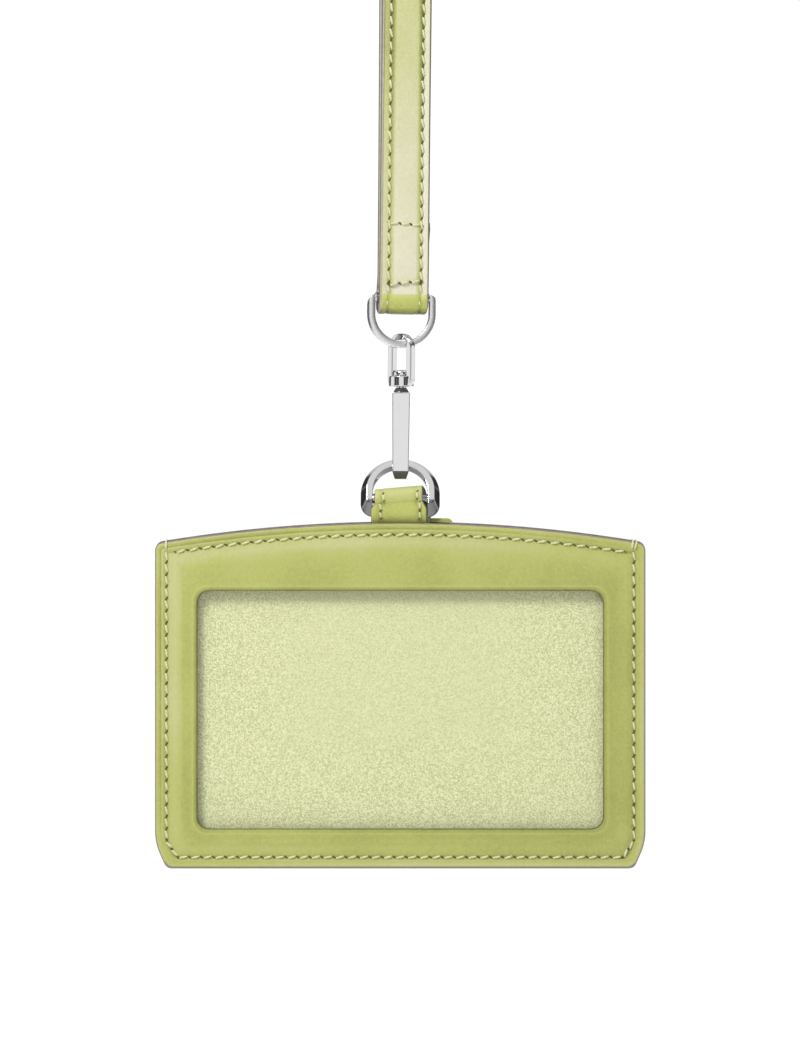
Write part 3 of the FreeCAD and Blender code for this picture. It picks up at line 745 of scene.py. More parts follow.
def d_ring_rings(face, flare, depth, centre, feet, corners):
    """Rings of points along a cast D's arch, foot to foot, with its bar's axis at the origin."""
    heights = [0.0, 0.03, 0.1, 0.22, 0.4, 0.65, 0.9]
    legs = heights + [1.4 + 0.6 * k for k in range(20) if 1.4 + 0.6 * k < centre - feet[0] - 0.2]
    legs = [height / (centre - feet[0]) for height in legs]

    def section(loss_front, loss_rear, shrink):
        outline = [(0.0, -depth / 2), (face - loss_front, -depth / 2),
                   (face + flare - loss_rear, depth / 2), (0.0, depth / 2)]
        middle = Vector((sum(corner[0] for corner in outline) / 4, 0))
        return [middle + (point - middle) * shrink for point in rounded(outline, 0.17)]

    def leg(share, sign, shrink=1.0):
        rise = [centre - foot for foot in feet]
        losses = [foot_loss(share * rise[k], corners[k]) for k in (0, 1)]
        ring = []
        for r, y in section(losses[0], losses[1], shrink):
            back = y / depth + 0.5
            foot = feet[0] + (feet[1] - feet[0]) * back
            ring.append(Vector((sign * (RING_INNER + r), y, foot + share * (centre - foot))))
        return ring

    rings = [leg(0, -1, 0.8)] + [leg(share, -1) for share in legs]
    for k in range(49):
        a = math.pi - math.pi * k / 48
        rings.append([Vector(((RING_INNER + r) * math.cos(a), y, centre + (RING_INNER + r) * math.sin(a)))
                      for r, y in section(0, 0, 1)])
    rings += [leg(share, 1) for share in reversed(legs)] + [leg(0, 1, 0.8)]
    return rings


def add_d_ring(name, sizes, matrix, body, node, finish):
    arch = (d_ring_rings(**sizes), False)
    bar = (turned(BAR_TURNED, (0, 0, 0), (1, 0, 0)), False)

    # Painted shade and dark reflections: darker where the bar meets the arch, along the arch's inner edges,
    # half as much on the upper ring, and on the lower ring's outer flare and feet.
    def tone(i, j, point):
        if math.hypot(point.y, point.z) < 1.2 and abs(point.x) < RING_INNER:
            return 0.85 if abs(point.x) > 5 else 0.5
        if sizes["flare"] > 1 and (point.z < -0.6 or j in OUTER_PAINTED_SHADE):
            return max(OUTER_PAINTED_SHADE.get(j, 0.5), 0.86 if point.z < -0.6 else 0.5)
        return 0.5 + (INNER_PAINTED_SHADE.get(j, 0.5) - 0.5) * (1.0 if sizes["flare"] > 1 else 0.5)
    piece = crisp(skin(name, [arch, bar], matrix, [finish], tone_at=tone))
    return stands_for(piece, body, "polished_metal", node)


def link_loop(half, top, bottom, corner, low_corner):
    """A closed upright loop in the XZ plane with rounded corners."""
    centres = ((half - corner, top - corner, 0, corner), (-half + corner, top - corner, 90, corner),
               (-half + low_corner, bottom + low_corner, 180, low_corner),
               (half - low_corner, bottom + low_corner, 270, low_corner))
    return [point for x, z, start, radius in centres
            for point in arc_points((x, z), radius, start, start + 90, 12)]


EYE_TOP, EYE_BOTTOM, EYE_HALF, EYE_WIRE = -7.12, -17.84, 3.3, 1.35
EYE_LOW_CORNER, EYE_HOLLOW_CORNER, EYE_TURN = 1.7, 0.75, math.radians(-45)
EYE_SOFT = ((0.0, 0.48), (0.03, 0.58), (0.09, 0.64), (0.19, 0.675))
COLLAR = ((0.0, 1.0), (0.0, 2.3), (0.08, 2.46), (0.22, 2.5), (1.9, 2.5), (2.06, 2.44), (2.14, 2.3),
          (2.14, 1.0))
POST = ((0.0, 0.9), (5.75, 0.9), (5.8, 1.75), (5.9, 1.8), (6.5, 1.78), (6.8, 1.6), (6.92, 1.2), (6.95, 0.3))
POST_FOOT = -21.4


def add_eye():
    """The swivel's oblong eye, with the collar that the hook's post turns in."""
    outer = [(inset, side * y) for side in (-1, 1)
             for inset, y in (reversed(EYE_SOFT) if side < 0 else EYE_SOFT)]
    rings = [at_depth(link_loop(EYE_HALF - inset, EYE_TOP - inset, EYE_BOTTOM + inset, EYE_HALF - inset,
                                EYE_LOW_CORNER - inset), y)
             for inset, y in outer]
    for grow, y in reversed(outer):
        corner, wall = EYE_HOLLOW_CORNER + grow, EYE_WIRE - grow
        hollow = link_loop(EYE_HALF - wall, EYE_TOP - wall, EYE_BOTTOM + wall, corner, corner)
        rings.append(at_depth(hollow, y))
    collar = turned(COLLAR, (0, 0, EYE_BOTTOM), (0, 0, 1), 40)
    matrix = CHAIN @ Matrix.Rotation(EYE_TURN, 4, "Z")
    piece = crisp(skin("swivel_eye_link", [(rings, True), (collar, True)], matrix, [CHROME]))
    stands_for(piece, "eye", "polished_metal", "swivel_eye")
    post = skin("swivel_rivet", [(turned(POST, (0, 0, POST_FOOT), (0, 0, 1)), False)], CHAIN, [CHROME])
    stands_for(post, "hook", "polished_metal", "swivel_post")


HOOK_TOP, HOOK_BOTTOM, HOOK_END = -18.96, -36.36, 1.3
HOOK_HALVES = (1.79, 1.62, 1.2)
SPINE_FRONT, SPINE_BACK = -1.65, 0.45
LIMB_FRONT, LIMB_BACK = 5.15, 7.25
HOOK_CHAMFER, CHAMFER_RINGS, HOOK_HEEL = 1.35, range(9, 16), 4.0
INNER_CENTRE, INNER_RADIUS = (2.8, -32.6), 2.35
TIP_FRONT, TIP_REAR = -31.0, -31.5
HEAD_BOTTOM, SLOT_TOP, SLOT_FRONT, SLOT_HALF = -22.4, -19.8, 1.5, 1.25
PIN = ((-1.8, 0.25), (-1.77, 0.42), (-1.66, 0.5), (1.66, 0.5), (1.77, 0.42), (1.8, 0.25))
NECK = ((-0.4, 1.6), (0.0, 1.62), (0.2, 1.5), (0.7, 1.2), (0.85, 1.12), (0.91, 1.0))


def hook_half(z):
    """Half the hook's width, which narrows downwards and then quickly at its end."""
    end = HOOK_BOTTOM + HOOK_END
    if z >= end:
        return HOOK_HALVES[1] + (HOOK_HALVES[0] - HOOK_HALVES[1]) * (z - end) / (HOOK_TOP - end)
    return HOOK_HALVES[2] + (HOOK_HALVES[1] - HOOK_HALVES[2]) * max(0, z - HOOK_BOTTOM) / HOOK_END


def hook_ring(outer, inner, shrink=1.0):
    """One section of the hook, between its outside and its inside, both (y, z)."""
    outer, inner = Vector(outer), Vector(inner)
    half, middle = hook_half(outer.y) * shrink, (outer + inner) / 2
    reach = (outer - inner) / 2 * shrink
    thick = (outer - inner).length
    corners = [(-half, 1.0), (half, 1.0), (half, -1.0), (-half, -1.0)]
    soft = rounded([(x, w * thick / 2) for x, w in corners], 0.2)
    return [Vector((x, *(middle + reach * (w / (thick / 2))))) for x, w in soft]


def hook_bar():
    """The hook's spine, bend and tip, as rings from the top to the tip. CHAMFER_RINGS are its cut foot."""
    rings = [hook_ring((SPINE_FRONT, HOOK_TOP), (SPINE_BACK, HOOK_TOP), 0.86),
             hook_ring((SPINE_FRONT, HOOK_TOP - 0.1), (SPINE_BACK, HOOK_TOP - 0.1), 0.96)]
    rings += [hook_ring((SPINE_FRONT, HOOK_TOP - drop), (SPINE_BACK, HOOK_TOP - drop))
              for drop in (0.3, 3.0, 6.0, 9.0, 11.5, 13.0)]
    low = HOOK_BOTTOM + HOOK_CHAMFER
    outside = [(SPINE_FRONT, low + 0.9), (SPINE_FRONT, low + 0.25), (SPINE_FRONT + 0.03, low + 0.06),
               (SPINE_FRONT + 0.12, low - 0.1), (SPINE_FRONT + 0.65, low - 0.65),
               (SPINE_FRONT + HOOK_CHAMFER - 0.15, HOOK_BOTTOM + 0.14),
               (SPINE_FRONT + HOOK_CHAMFER, HOOK_BOTTOM + 0.03),
               (SPINE_FRONT + HOOK_CHAMFER + 0.25, HOOK_BOTTOM), (LIMB_BACK - HOOK_HEEL - 1.0, HOOK_BOTTOM)]
    outside += arc_points((LIMB_BACK - HOOK_HEEL, HOOK_BOTTOM + HOOK_HEEL), HOOK_HEEL, 270, 360, 14)
    inside = arc_points(INNER_CENTRE, INNER_RADIUS, 180, 360, len(outside) - 1)
    rings += [hook_ring(outer, inner) for outer, inner in zip(outside, inside)]
    for drop, shrink in ((0.35, 1.0), (0.1, 0.95), (0.0, 0.82)):
        rings.append(hook_ring((LIMB_BACK, TIP_REAR - drop), (LIMB_FRONT, TIP_FRONT - drop), shrink))
    return rings


def side_plate(name, outline, half, bevel, cut=None):
    """A (y, z) outline given thickness along X, with bevelled edges. cut is a box taken out of it first."""
    def solid(part_name, corners, reach):
        rings = [[Vector((x, y, z)) for y, z in corners] for x in (-reach, reach)]
        return skin(part_name, [(rings, False)], Matrix.Identity(4), [CHROME])
    piece = solid(name, outline, half)
    if cut:
        (y0, y1), (z0, z1), reach = cut
        tool = solid(name + "_cut", [(y0, z0), (y1, z0), (y1, z1), (y0, z1)], reach)
        boolean = piece.modifiers.new("cut", "BOOLEAN")
        boolean.operation, boolean.object, boolean.solver = "DIFFERENCE", tool, "EXACT"
    soften = piece.modifiers.new("bevel", "BEVEL")
    soften.width, soften.segments, soften.limit_method = bevel, 3, "ANGLE"
    soften.angle_limit = math.radians(40)
    depsgraph = bpy.context.evaluated_depsgraph_get()
    made = bpy.data.meshes.new_from_object(piece.evaluated_get(depsgraph))
    piece.modifiers.clear()
    piece.data = made
    if cut:
        bpy.data.objects.remove(tool)
    made.transform(CHAIN)
    made.polygons.foreach_set("use_smooth", [True] * len(made.polygons))
    made.set_sharp_from_angle(angle=math.radians(35))
    return piece


def arc_points(centre, radius, start, end, count):
    """count steps round an arc, from a start angle to an end angle in degrees."""
    angles = [math.radians(start + (end - start) * k / count) for k in range(count + 1)]
    return [(centre[0] + radius * math.cos(a), centre[1] + radius * math.sin(a)) for a in angles]


def joined(name, pieces, materials):
    """One object from several, so that a solid part is one piece."""
    form = bmesh.new()
    for piece in pieces:
        form.from_mesh(piece.data)
    mesh = bpy.data.meshes.new(name)
    form.to_mesh(mesh)
    form.free()
    for material in materials:
        mesh.materials.append(material)
    for piece in pieces:
        bpy.data.objects.remove(piece)
    return in_scene(name, mesh)


def add_hook():
    neck = turned(NECK, (0, 0, HOOK_TOP), (0, 0, 1), 40)
    # The chamfer rings and the neck get the dark copy: painted shade and dark reflection.
    chrome_and_painted_shade = [CHROME, SHADED_METAL]
    bar = skin("hook_bar", [(hook_bar(), False)], CHAIN, chrome_and_painted_shade, lambda i, j: int(i in CHAMFER_RINGS))
    collar = skin("hook_neck", [(neck, False)], CHAIN, chrome_and_painted_shade, lambda i, j: 1)
    shoulder = arc_points((LIMB_BACK - 2.6, HOOK_TOP - 2.6), 2.6, 90, 0, 10)
    head_outline = [(SPINE_BACK - 0.4, HEAD_BOTTOM), (SPINE_BACK - 0.4, HOOK_TOP), *shoulder,
                    (LIMB_BACK, HEAD_BOTTOM)]
    slot = ((SLOT_FRONT, LIMB_BACK + 2), (HEAD_BOTTOM - 2, SLOT_TOP), SLOT_HALF)
    head = side_plate("hook_head", head_outline, HOOK_HALVES[0] - 0.04, 0.2, slot)
    piece = crisp(joined("snap_hook", [bar, collar, head], chrome_and_painted_shade))
    stands_for(piece, "hook", "polished_metal", "hook_body")
    piece = skin("gate_pin", [(turned(PIN, (0, *GATE_PIVOT), (1, 0, 0), 24), False)], CHAIN, [CHROME])
    stands_for(piece, "hook", "polished_metal", "gate_pivot_pin")


GATE_PIVOT, GATE_HEAD = (5.95, -21.1), 1.2
GATE_FRONT, GATE_BACK, GATE_NOSE, GATE_HALF = 5.35, 7.05, -30.5, 1.17
HEEL_FRONT, HEEL_TOP, HEEL_BOTTOM = 3.7, -20.95, -21.75


def add_gate():
    """The sprung gate: a round head on the pin, a heel for the spring and an arm down to the tip."""
    heel_arc = arc_points(GATE_PIVOT, GATE_HEAD, 172.8, 23.6, 12)
    front_arc = arc_points(GATE_PIVOT, GATE_HEAD, 240.0, 212.8, 3)
    outline = [(GATE_FRONT, GATE_NOSE), *front_arc, (HEEL_FRONT, HEEL_BOTTOM), (HEEL_FRONT, HEEL_TOP),
               *heel_arc, (GATE_BACK, GATE_NOSE - 0.25)]
    gate = side_plate("snap_gate", outline, GATE_HALF, 0.16)
    stands_for(gate, "gate", "polished_metal", "gate")


# ---- Holder ----

HALF_WIDTH, BEVEL_TOP, BEVEL_HALF, CORNER = 49.1, -68.8, 46.8, 1.5
WINDOW_HALF, WINDOW_TOP, WINDOW_BOTTOM, WINDOW_CORNER = 40.6, -18.4, -66.0, 2.8
BEVEL_SOFT, FOOT_SOFT = 2.4, 1.1    # how far the bevel's two corners are rounded
TOP_COUNT, TURN_COUNT, SIDE_COUNT, LOW_COUNT, BASE_COUNT = 40, 6, 26, 16, 40
SAGITTA = TOP_MIDDLE - TOP_SIDE
ARCH_RADIUS = (HALF_WIDTH ** 2 + SAGITTA ** 2) / (2 * SAGITTA)
FRONT_BACK, LINING_BACK, BACKING_BACK, BOARD_BACK, BACK_FACE = -1.3, -1.0, 0.4, 1.0, 2.3
SEAM_INSET = 2.35
FILM_BORDER, FILM_BOW, FILLER_WIDTH = 2.2, 0.12, 5.2
PANEL_MIDDLE, FILM_MIDDLE = -40, -42      # heights


def arch_z(x, inset=0.0, rise=0.0):
    """Height of the arched top edge, less an inset, at x."""
    return TOP_MIDDLE + rise - inset - ARCH_RADIUS + math.sqrt(ARCH_RADIUS ** 2 - x * x)


def between(start, end, count):
    """count points after start and before end."""
    return [Vector(start).lerp(Vector(end), k / (count + 1)) for k in range(1, count + 1)]


def mirrored(right):
    """A whole loop from its right half, which runs from the top middle to the bottom middle."""
    return right + [(-x, z) for x, z in reversed(right[1:-1])]


def outline_loop(inset, rise=0.0):
    """The holder's outline, inset: arched top, upright sides and two bevelled lower corners."""
    half, bottom = HALF_WIDTH - inset, BOTTOM + inset
    radius = max(CORNER - inset, 0.2)
    run, fall = HALF_WIDTH - BEVEL_HALF, BEVEL_TOP - BOTTOM
    size = math.hypot(run, fall)
    nx, nz = fall / size, -run / size
    level = nx * HALF_WIDTH + nz * BEVEL_TOP - inset
    top = (half, arch_z(half, inset, rise))
    upper = (half, (level - nx * half) / nz)
    lower = ((level - nz * bottom) / nx, bottom)
    arch_end = (half - radius, arch_z(half - radius, inset, rise))
    right = [(x, arch_z(x, inset, rise)) for x in
             (arch_end[0] * k / TOP_COUNT for k in range(TOP_COUNT))]
    right += corner_curve(arch_end, top, upper, radius, TURN_COUNT)
    bevel = math.dist(upper, lower)
    soft, foot = min(BEVEL_SOFT, 0.5 * bevel), min(FOOT_SOFT, 0.3 * bevel)
    right += between((half, top[1] - radius), (half, upper[1] + soft), SIDE_COUNT)
    right += corner_curve(top, upper, lower, soft, LOW_COUNT // 2)
    right += corner_curve(upper, lower, (0, bottom), foot, LOW_COUNT // 2)
    right += between((lower[0] - foot, bottom), (0, bottom), BASE_COUNT) + [(0, bottom)]
    return mirrored(right)


def window_loop(grow):
    """The window's rounded rectangle, grown outwards, with as many points as the outline."""
    half, radius = WINDOW_HALF + grow, WINDOW_CORNER + max(grow, 0) * 0.6
    top, bottom = WINDOW_TOP + grow, WINDOW_BOTTOM - grow
    right = [((half - radius) * k / TOP_COUNT, top) for k in range(TOP_COUNT)]
    right += corner_curve((0, top), (half, top), (half, bottom), radius, TURN_COUNT)
    right += between((half, top - radius), (half, bottom + radius), SIDE_COUNT)
    right += corner_curve((half, top), (half, bottom), (0, bottom), radius, LOW_COUNT)
    right += between((half - radius, bottom), (0, bottom), BASE_COUNT) + [(0, bottom)]
    return mirrored(right)


def blend_loops(first, second, share):
    return [(a[0] + (b[0] - a[0]) * share, a[1] + (b[1] - a[1]) * share) for a, b in zip(first, second)]


def at_depth(loop, y, wave=0.0):
    """A loop at a depth. wave lets the leather stand proud of it, softly and unevenly."""
    def swell(x, z):
        return wave * (0.5 + 0.5 * noise.noise(Vector((x, z, 3.0)) * 0.07))
    return [Vector((x, y - swell(x, z), z)) for x, z in loop]


# How far in from the edge, how deep below the face, and the tone there, which paints shade in the seam and at
# the window's edge and paints highlights beside them. The seam lies in a broad valley.
FRONT_BORDER = ((0.02, 0.62, 0.5), (0.05, 0.34, 0.5), (0.14, 0.17, 0.45), (0.28, 0.06, 0.42),
                (0.5, 0.02, 0.42), (0.95, 0.02, 0.46), (1.2, 0.08, 0.5), (1.42, 0.04, 0.5), (1.8, 0.1, 0.5),
                (2.1, 0.2, 0.58), (SEAM_INSET, 0.27, 0.72), (2.6, 0.22, 0.56), (3.0, 0.15, 0.48),
                (4.0, 0.08, 0.44), (5.2, 0.03, 0.48))
WINDOW_BORDER = ((2.6, 0.0, 0.54), (1.7, -0.01, 0.56), (1.2, -0.03, 0.54), (0.95, -0.05, 0.46),
                 (0.7, -0.04, 0.58), (0.35, 0.02, 0.64), (0.15, 0.14, 0.8), (0.04, 0.3, 0.95),
                 (0.0, 0.45, 1.0))
EDGE_RINGS = 3     # how many of the border's rings are painted edge


def lit_side(x, z):
    """1 towards the holder's upper left and -1 towards its lower right."""
    return max(-1.0, min(1.0, (-0.7 * x + z + 40) / 35))


def panel_painted_light(base, inset, point):
    """Painted light from the upper left on a panel: paler overall towards the upper left, paler inside the
    seam and darker outside it at the upper left, the reverse at the lower right, and at the upper left a
    painted shade line with a painted highlight line inside it.
    """
    side = lit_side(point.x, point.z)
    lit = max(0.0, side)
    inner, outer = bell(inset, 3.6, 1.3), bell(inset, 0.9, 0.7)
    painted_crease = 0.16 * bell(inset, 1.2, 0.12) - 0.2 * bell(inset, 1.42, 0.12)
    return base - 0.03 * side + side * (0.14 * outer - 0.06 * inner) - lit * 0.09 * inner + lit * painted_crease


def add_front_panel():
    rings = [at_depth(outline_loop(0.1), FRONT_BACK), at_depth(outline_loop(0.0), FRONT_BACK - 0.25)]
    tones, insets = [0.5, 0.5], [0, 0]
    border = len(rings)
    for inset, depth, tone in FRONT_BORDER:
        wave = 0.05 if inset > 4.5 else 0.0
        rings.append(at_depth(outline_loop(inset), FRONT_FACE + depth, wave))
        tones.append(tone)
        insets.append(inset)
    inside, outside = outline_loop(FRONT_BORDER[-1][0]), window_loop(WINDOW_BORDER[0][0])
    # Slightly darker towards the window: painted shade.
    for share in (0.25, 0.5, 0.75):
        rings.append(at_depth(blend_loops(inside, outside, share), FRONT_FACE, 0.06))
        tones.append(0.49 + 0.06 * share)
    for grow, depth, tone in WINDOW_BORDER:
        rings.append(at_depth(window_loop(grow), FRONT_FACE + depth, 0.03 if grow > 1.5 else 0.0))
        tones.append(tone)
    # The window's cut wall, darkest of all: painted shade.
    rings += [at_depth(window_loop(0.0), FRONT_FACE + 0.8), at_depth(window_loop(0.0), FRONT_BACK)]
    tones += [1.0, 1.1]
    insets += [9] * (len(tones) - len(insets))
    low = [z < BOTTOM + 1 for _, z in outline_loop(0)]

    def edge_at(i, j):
        """Painted edge. Along the bottom a line of bare leather shows below it."""
        if low[j]:
            return int(i < border or border + 2 <= i <= border + EDGE_RINGS)
        return int(i < border + EDGE_RINGS)
    piece = skin("front_leather", [(rings, True)], HOLDER, [PANEL_LEATHER, SHADED_EDGE_PAINT], edge_at,
                 lambda i, j, point: panel_painted_light(tones[i], insets[i], point))
    stands_for(piece, "holder", "panel_leather", "front_panel")


def shrunk(loop, middle_z):
    """A loop drawn in almost to a point, to fill a face's middle."""
    return [(x * 0.02, middle_z + (z - middle_z) * 0.02) for x, z in loop]


def sheet_shell(profile, rise=0.0, wave=0.0, steps=5):
    """A whole sheet: profile is (inset, y) from the middle of one face round the edge to the other, and
    steps is how many rings cross each face."""
    middle = shrunk(outline_loop(0, rise), PANEL_MIDDLE)

    def face_ring(end, share, bulge):
        inset, y = end
        return at_depth(blend_loops(outline_loop(inset, rise), middle, share), y, bulge)
    rings = [face_ring(profile[0], 1 - k / steps, wave) for k in range(steps)]
    rings += [at_depth(outline_loop(inset, rise), y) for inset, y in profile]
    rings += [face_ring(profile[-1], (k + 1) / steps, -wave) for k in range(steps)]
    return rings, False


def add_back_panel():
    """The back leather, with a creased and sewn border and a softly rounded painted edge."""
    face = [(inset, BACK_FACE - depth) for inset, depth, _ in FRONT_BORDER]
    profile = [(4.0, BOARD_BACK), (0.1, BOARD_BACK), (0.0, BOARD_BACK + 0.25), *face]
    shell = sheet_shell(profile, rise=0.3, wave=0.06)
    lead = 5
    # The border's tones are the front's: painted shade in the seam, painted highlights beside it.
    tones = [0.5] * (lead + 3) + [tone for _, _, tone in FRONT_BORDER] + [0.5] * lead
    edges = range(lead, lead + 3 + EDGE_RINGS)
    piece = skin("back_leather", [shell], HOLDER, [PANEL_LEATHER, SHADED_EDGE_PAINT],
                 lambda i, j: int(i in edges), lambda i, j, _: tones[i])
    stands_for(piece, "holder", "panel_leather", "back_panel")


NAP_RINGS = 13     # across each face, to let the nap's strength change


def add_backing():
    """The napped lining seen through the window, rubbed smooth in its middle."""
    profile = [(3.0, 0.0), (0.08, 0.0), (0.02, 0.1), (0.02, BACKING_BACK - 0.1), (0.08, BACKING_BACK),
               (3.0, BACKING_BACK)]

    def nap(i, j, point):
        aside = max(0.0, (abs(point.x) - 18) / 20)
        below = max(0.0, (-46 - point.z) / 18)
        return min(1.0, 0.3 + 0.7 * max(aside, below))
    edges = range(NAP_RINGS + 1, NAP_RINGS + 4)
    piece = skin("pocket_lining", [sheet_shell(profile, steps=NAP_RINGS)], HOLDER, [LINING, SHADED_EDGE_PAINT],
                 lambda i, j: int(i in edges), nap)
    stands_for(piece, "holder", "lining", "backing_panel")


def add_film():
    """The clear film behind the window, very slightly bowed."""
    edge = window_loop(FILM_BORDER - 0.05)
    middle = shrunk(edge, FILM_MIDDLE)
    rings = []
    for y, order in ((FRONT_BACK + 0.01, (1.0, 0.7, 0.4, 0.0)), (LINING_BACK - 0.01, (0.0, 0.4, 0.7, 1.0))):
        for share in order:
            rings.append(at_depth(blend_loops(edge, middle, share), y + FILM_BOW * share))
    piece = skin("window_sheet", [(rings, False)], HOLDER, [FILM])
    stands_for(piece, "holder", "clear_film", "window_film")


# The tab's leather, mid-thickness, up its front leg, round the lower ring's bar and down its back leg
TAB_MIDDLE, TAB_THICK, TAB_SKIVED = 1.75, 1.2, 0.3
TAB_NARROW, TAB_WIDE, TAB_SHOULDER = 4.8, 5.6, -0.9
TAB_TILT = math.tan(math.radians(5))


def tab_path():
    """(x shift, y, z, thickness) along the tab."""
    front = [(0, 0.55, -17.0, TAB_SKIVED), (0, 0.55, -10.0, TAB_SKIVED), (0, 0.55, -6.2, TAB_SKIVED),
             (-0.2, 0.2, -5.4, 0.4), (-0.25, -0.45, -4.4, 0.8), (-0.28, -0.95, -3.2, 1.05),
             (-0.3, -1.3, -1.9, TAB_THICK)]
    fold = [(-0.35 + 0.9 * max(0, math.cos(a)), TAB_MIDDLE * math.cos(a), TAB_MIDDLE * math.sin(a), TAB_THICK)
            for a in (math.radians(200 - 10 * k) for k in range(21))]
    back = [(0.55, 1.62, -1.4, TAB_THICK), (0.6, 1.36, -3.0, 1.0), (0.5, 1.05, -4.2, 0.6),
            (0.3, 0.88, -5.2, TAB_SKIVED), (0.0, 0.85, -8.0, TAB_SKIVED), (0.0, 0.85, -17.0, TAB_SKIVED)]
    return front + fold + back


def tab_half(z):
    """The tab widens below its shoulder, with a soft step."""
    share = share_of((TAB_SHOULDER + 0.4 - z) / 0.6)
    return TAB_NARROW + (TAB_WIDE - TAB_NARROW) * share * share * (3 - 2 * share)


def tab_tilt(u, half, z):
    """How much the tab's fold slants, u being the share of its half width."""
    return TAB_TILT * u * half * share_of((z + 3.0) / 4.0)


TAB_STOPS = (0.0, 0.3, 0.56, 0.64, 0.7, 0.76, 0.84, 0.94)     # shares of the tab's half width
TAB_EDGE, TAB_SEAM, TAB_CREASE = 0.96, 0.7, -1                # the crease is a height


def add_tab():
    """The leather tab round the ring's bar, with its sewing."""
    path = tab_path()
    points = [Vector((0, y, z)) for _, y, z, _ in path]
    placed = stations(points)
    quarter = [(u, 1 - 0.05 * u ** 4 - (0.16 if u == TAB_SEAM else 0)) for u in TAB_STOPS]
    quarter += [(0.975, 0.82), (0.993, 0.5), (1.0, 0.0)]
    section = whole_section(quarter)
    painted = painted_sides(section, TAB_EDGE)
    rings = []
    for (shift, _, z, thick), (point, _, across, out) in zip(path, placed):
        half = tab_half(z)
        ring = []
        for u, v in section:
            spot = point + across * (u * half + shift) + out * (v * thick / 2)
            spot.z += tab_tilt(u, half, z)
            ring.append(spot)
        rings.append(ring)

    # Painted light: a painted highlight on top of the fold, a painted shade line below it, painted shade in
    # the seam grooves, and slightly darker on the lower leg.
    def tone(i, j, _):
        height = path[i][2]
        glint, painted_crease = -0.14 * bell(height, 1.3, 0.4), 0.25 * bell(height, -0.8, 0.25)
        seam = 0.15 * bell(abs(section[j][0]), TAB_SEAM, 0.06)
        leg = 0.03 if height < TAB_CREASE else 0.0
        return 0.42 + glint + painted_crease + seam + leg

    # Below the crease the leg gets the lighter, more saturated copy of the leather: painted light for its
    # downward-facing slope.
    def material(i, j):
        if painted[j]:
            return 1
        return 2 if path[i][2] < TAB_CREASE else 0
    leathers = [PANEL_LEATHER, SHADED_EDGE_PAINT, PAINTED_LIGHT_LEATHER]
    piece = skin("ring_tab", [(rings, False)], HOLDER, leathers, material, tone)
    stands_for(piece, "holder", "panel_leather", "tab_loop")

    seam_line = evenly(points[2:17], 1.75)
    stitches = []
    for point, along, across, out in stations(seam_line)[1:-1]:
        half = tab_half(point.z)
        for side in (-TAB_SEAM, TAB_SEAM):
            place = point + across * side * half + out * (TAB_THICK / 2 - 0.03)
            place.z += tab_tilt(side, half, point.z)
            if point.z > -4.6:
                stitches.append((place, along + across * (0.1 * side), out, 1.4))
    sewing("tab_stitching", stitches, HOLDER, "holder", ["tab_thread"], (0.66, 0.26))


ANCHOR_LEFT, ANCHOR_RIGHT, ANCHOR_TOP, ANCHOR_BOTTOM = -5.3, 10.6, -3.85, -17.0
ANCHOR_CORNERS = (1.2, 1.2)


def add_anchor():
    """The rounded patch behind the tab."""
    half, middle = (ANCHOR_RIGHT - ANCHOR_LEFT) / 2, (ANCHOR_LEFT + ANCHOR_RIGHT) / 2
    rings = []
    for inset, y in ((0.5, 1.0), (0.1, 1.01), (0.0, 1.08), (0.0, 1.3), (0.12, 1.39), (0.5, 1.4)):
        loop = link_loop(half - inset, ANCHOR_TOP - inset, ANCHOR_BOTTOM + inset, *ANCHOR_CORNERS)
        rings.append([Vector((x + middle, y, z)) for x, z in loop])
    piece = skin("tab_patch", [(rings, False)], HOLDER, [PANEL_LEATHER])
    stands_for(piece, "holder", "panel_leather", "tab_anchor")


# ---- Sewing on the holder ----

SIDE_X = HALF_WIDTH - SEAM_INSET
FOOT_X = SIDE_X - 2.2
STITCH_LONG, BORDER_PITCH, ARCH_PITCH = 1.95, 2.4, 2.6


def straight_row(start, end, pitch, up):
    """Stitches from start to end, both Vectors."""
    along = end - start
    count = max(1, round(along.length / pitch))
    return [(start + along * ((k + 0.5) / count), along.normalized(), up, STITCH_LONG) for k in range(count)]


def holder_rows(y, up, rise):
    """The border's rows on one face: both sides and the bottom, and the arched top."""
    top, bottom = TOP_SIDE + rise - 1.3, BOTTOM + SEAM_INSET
    corner = SIDE_X - 1.6
    border = []
    for sign in (-1, 1):
        knee, foot = Vector((sign * SIDE_X, y, BEVEL_TOP + 0.4)), Vector((sign * FOOT_X, y, bottom))
        border += straight_row(Vector((sign * SIDE_X, y, top)), knee, BORDER_PITCH, up)
        border += straight_row(knee, foot, BORDER_PITCH, up)
    border += straight_row(Vector((-FOOT_X, y, bottom)), Vector((FOOT_X, y, bottom)), BORDER_PITCH, up)
    arch = []
    count = round(2 * corner / ARCH_PITCH)
    for k in range(count):
        ends = [-corner + 2 * corner * (k + step) / count for step in (0, 1)]
        start, end = [Vector((x, y, arch_z(x, SEAM_INSET, rise))) for x in ends]
        arch += straight_row(start, end, ARCH_PITCH, up)
    return border, arch


def corner_wraps():
    """The thread that ends each side's row by going over the top edge, double on the right."""
    wraps = []
    for x, slant in ((-SIDE_X - 0.1, 0.0), (SIDE_X - 0.3, 0.16), (SIDE_X + 0.35, 0.3)):
        height = arch_z(abs(x))
        down = Vector((x, FRONT_FACE - 0.02, height - 0.75))
        wraps.append((down, Vector((slant, 0, 1)), Vector((0, -1, 0)), 1.7))
        over = Vector((x + slant * 0.6, (FRONT_FACE + BACK_FACE) / 2, height + 0.16))
        wraps.append((over, Vector((0, 1, 0.05)), Vector((0, 0, 1)), BACK_FACE - FRONT_FACE - 0.2))
    return wraps


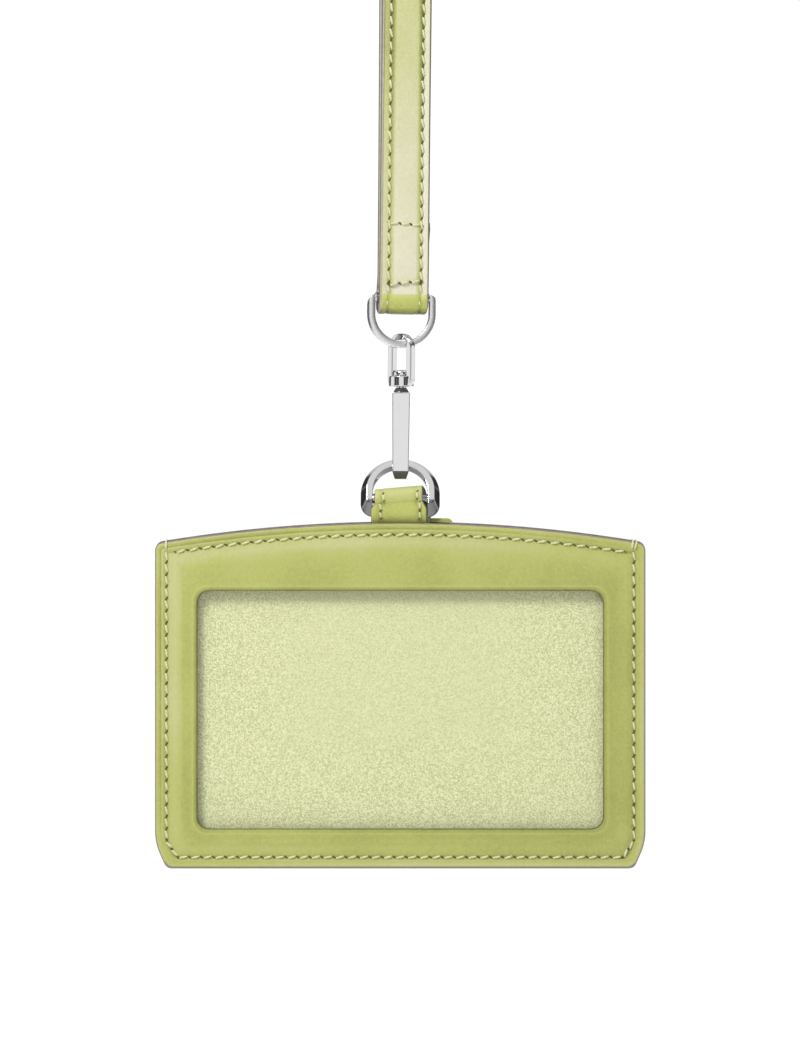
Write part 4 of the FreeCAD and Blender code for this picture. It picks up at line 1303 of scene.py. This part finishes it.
def add_holder_sewing():
    front_y, back_y = FRONT_FACE + 0.2, BACK_FACE - 0.2
    front_border, front_arch = holder_rows(front_y, Vector((0, -1, 0)), 0.0)
    back_border, back_arch = holder_rows(back_y, Vector((0, 1, 0)), 0.3)
    sewing("border_stitching", front_border + back_border, HOLDER, "holder", ["perimeter_thread"],
           wraps=corner_wraps())
    sewing("arch_stitching", front_arch + back_arch, HOLDER, "holder", ["top_edge_thread"], (0.72, 0.26))


def add_inner_layers():
    """The lining round the film, the U-shaped filler and the board. Their edges show in the holder's."""
    ring = [at_depth(outline_loop(0.12), FRONT_BACK), at_depth(outline_loop(0.04), FRONT_BACK + 0.06),
            at_depth(outline_loop(0.04), LINING_BACK - 0.06), at_depth(outline_loop(0.12), LINING_BACK),
            at_depth(window_loop(FILM_BORDER), LINING_BACK), at_depth(window_loop(FILM_BORDER), FRONT_BACK)]
    lining = skin("inner_lining", [(ring, True)], HOLDER, [SHADED_EDGE_PAINT])
    stands_for(lining, "holder", "lining", "front_lining")

    loops = [outline_loop(inset) for inset in (0.12, 0.04, 0.04, 0.12, FILLER_WIDTH, FILLER_WIDTH)]
    depths = (LINING_BACK, LINING_BACK + 0.08, -0.08, 0.0, 0.0, LINING_BACK)
    below = [k for k, (_, z) in enumerate(loops[0]) if z < TOP_SIDE - 1.5]
    sections = [[Vector((loop[k][0], y, loop[k][1])) for loop, y in zip(loops, depths)] for k in below]
    filler = skin("pocket_filler", [(sections, False)], HOLDER, [SHADED_EDGE_PAINT])
    stands_for(filler, "holder", "panel_leather", "edge_filler")

    low, high = BACKING_BACK + 0.01, BOARD_BACK - 0.01
    board = skin("board", [sheet_shell([(3.0, low), (0.12, low), (0.04, low + 0.1), (0.04, high - 0.1),
                                        (0.12, high), (3.0, high)])], HOLDER, [BOARD])
    stands_for(board, "holder", "fibre_board", "stiffener")


def dress_spring():
    """A finish for the one CAD node that keeps its own shape."""
    for slot in bpy.data.objects["gate_spring"].material_slots:
        slot.material = SPRING_STEEL


add_camera()
add_straps()
add_d_ring("upper_ring_metal", UPPER_RING, UPPER_PLACE, "upper_ring", "upper_d_ring", SATIN)
add_eye()
add_hook()
add_gate()
add_d_ring("lower_ring_metal", LOWER_RING, LOWER_PLACE, "lower_ring", "lower_d_ring", CHROME)
add_front_panel()
add_back_panel()
add_backing()
add_film()
add_inner_layers()
add_tab()
add_anchor()
add_holder_sewing()
dress_spring()

add_floor()
add_world()
middle = Vector((bar_place.x, 0, bar_place.z - 0.03))
add_lamp("key", middle + KEY_PLACE, KEY_RADIUS, KEY_POWER, True)
add_softbox("fill", middle + FILL_PLACE, middle, FILL_SIZE, FILL_POWER)
add_lamp("rear", middle + REAR_PLACE, REAR_RADIUS, REAR_POWER, False)
bpy.context.scene.view_settings.view_transform = "Standard"
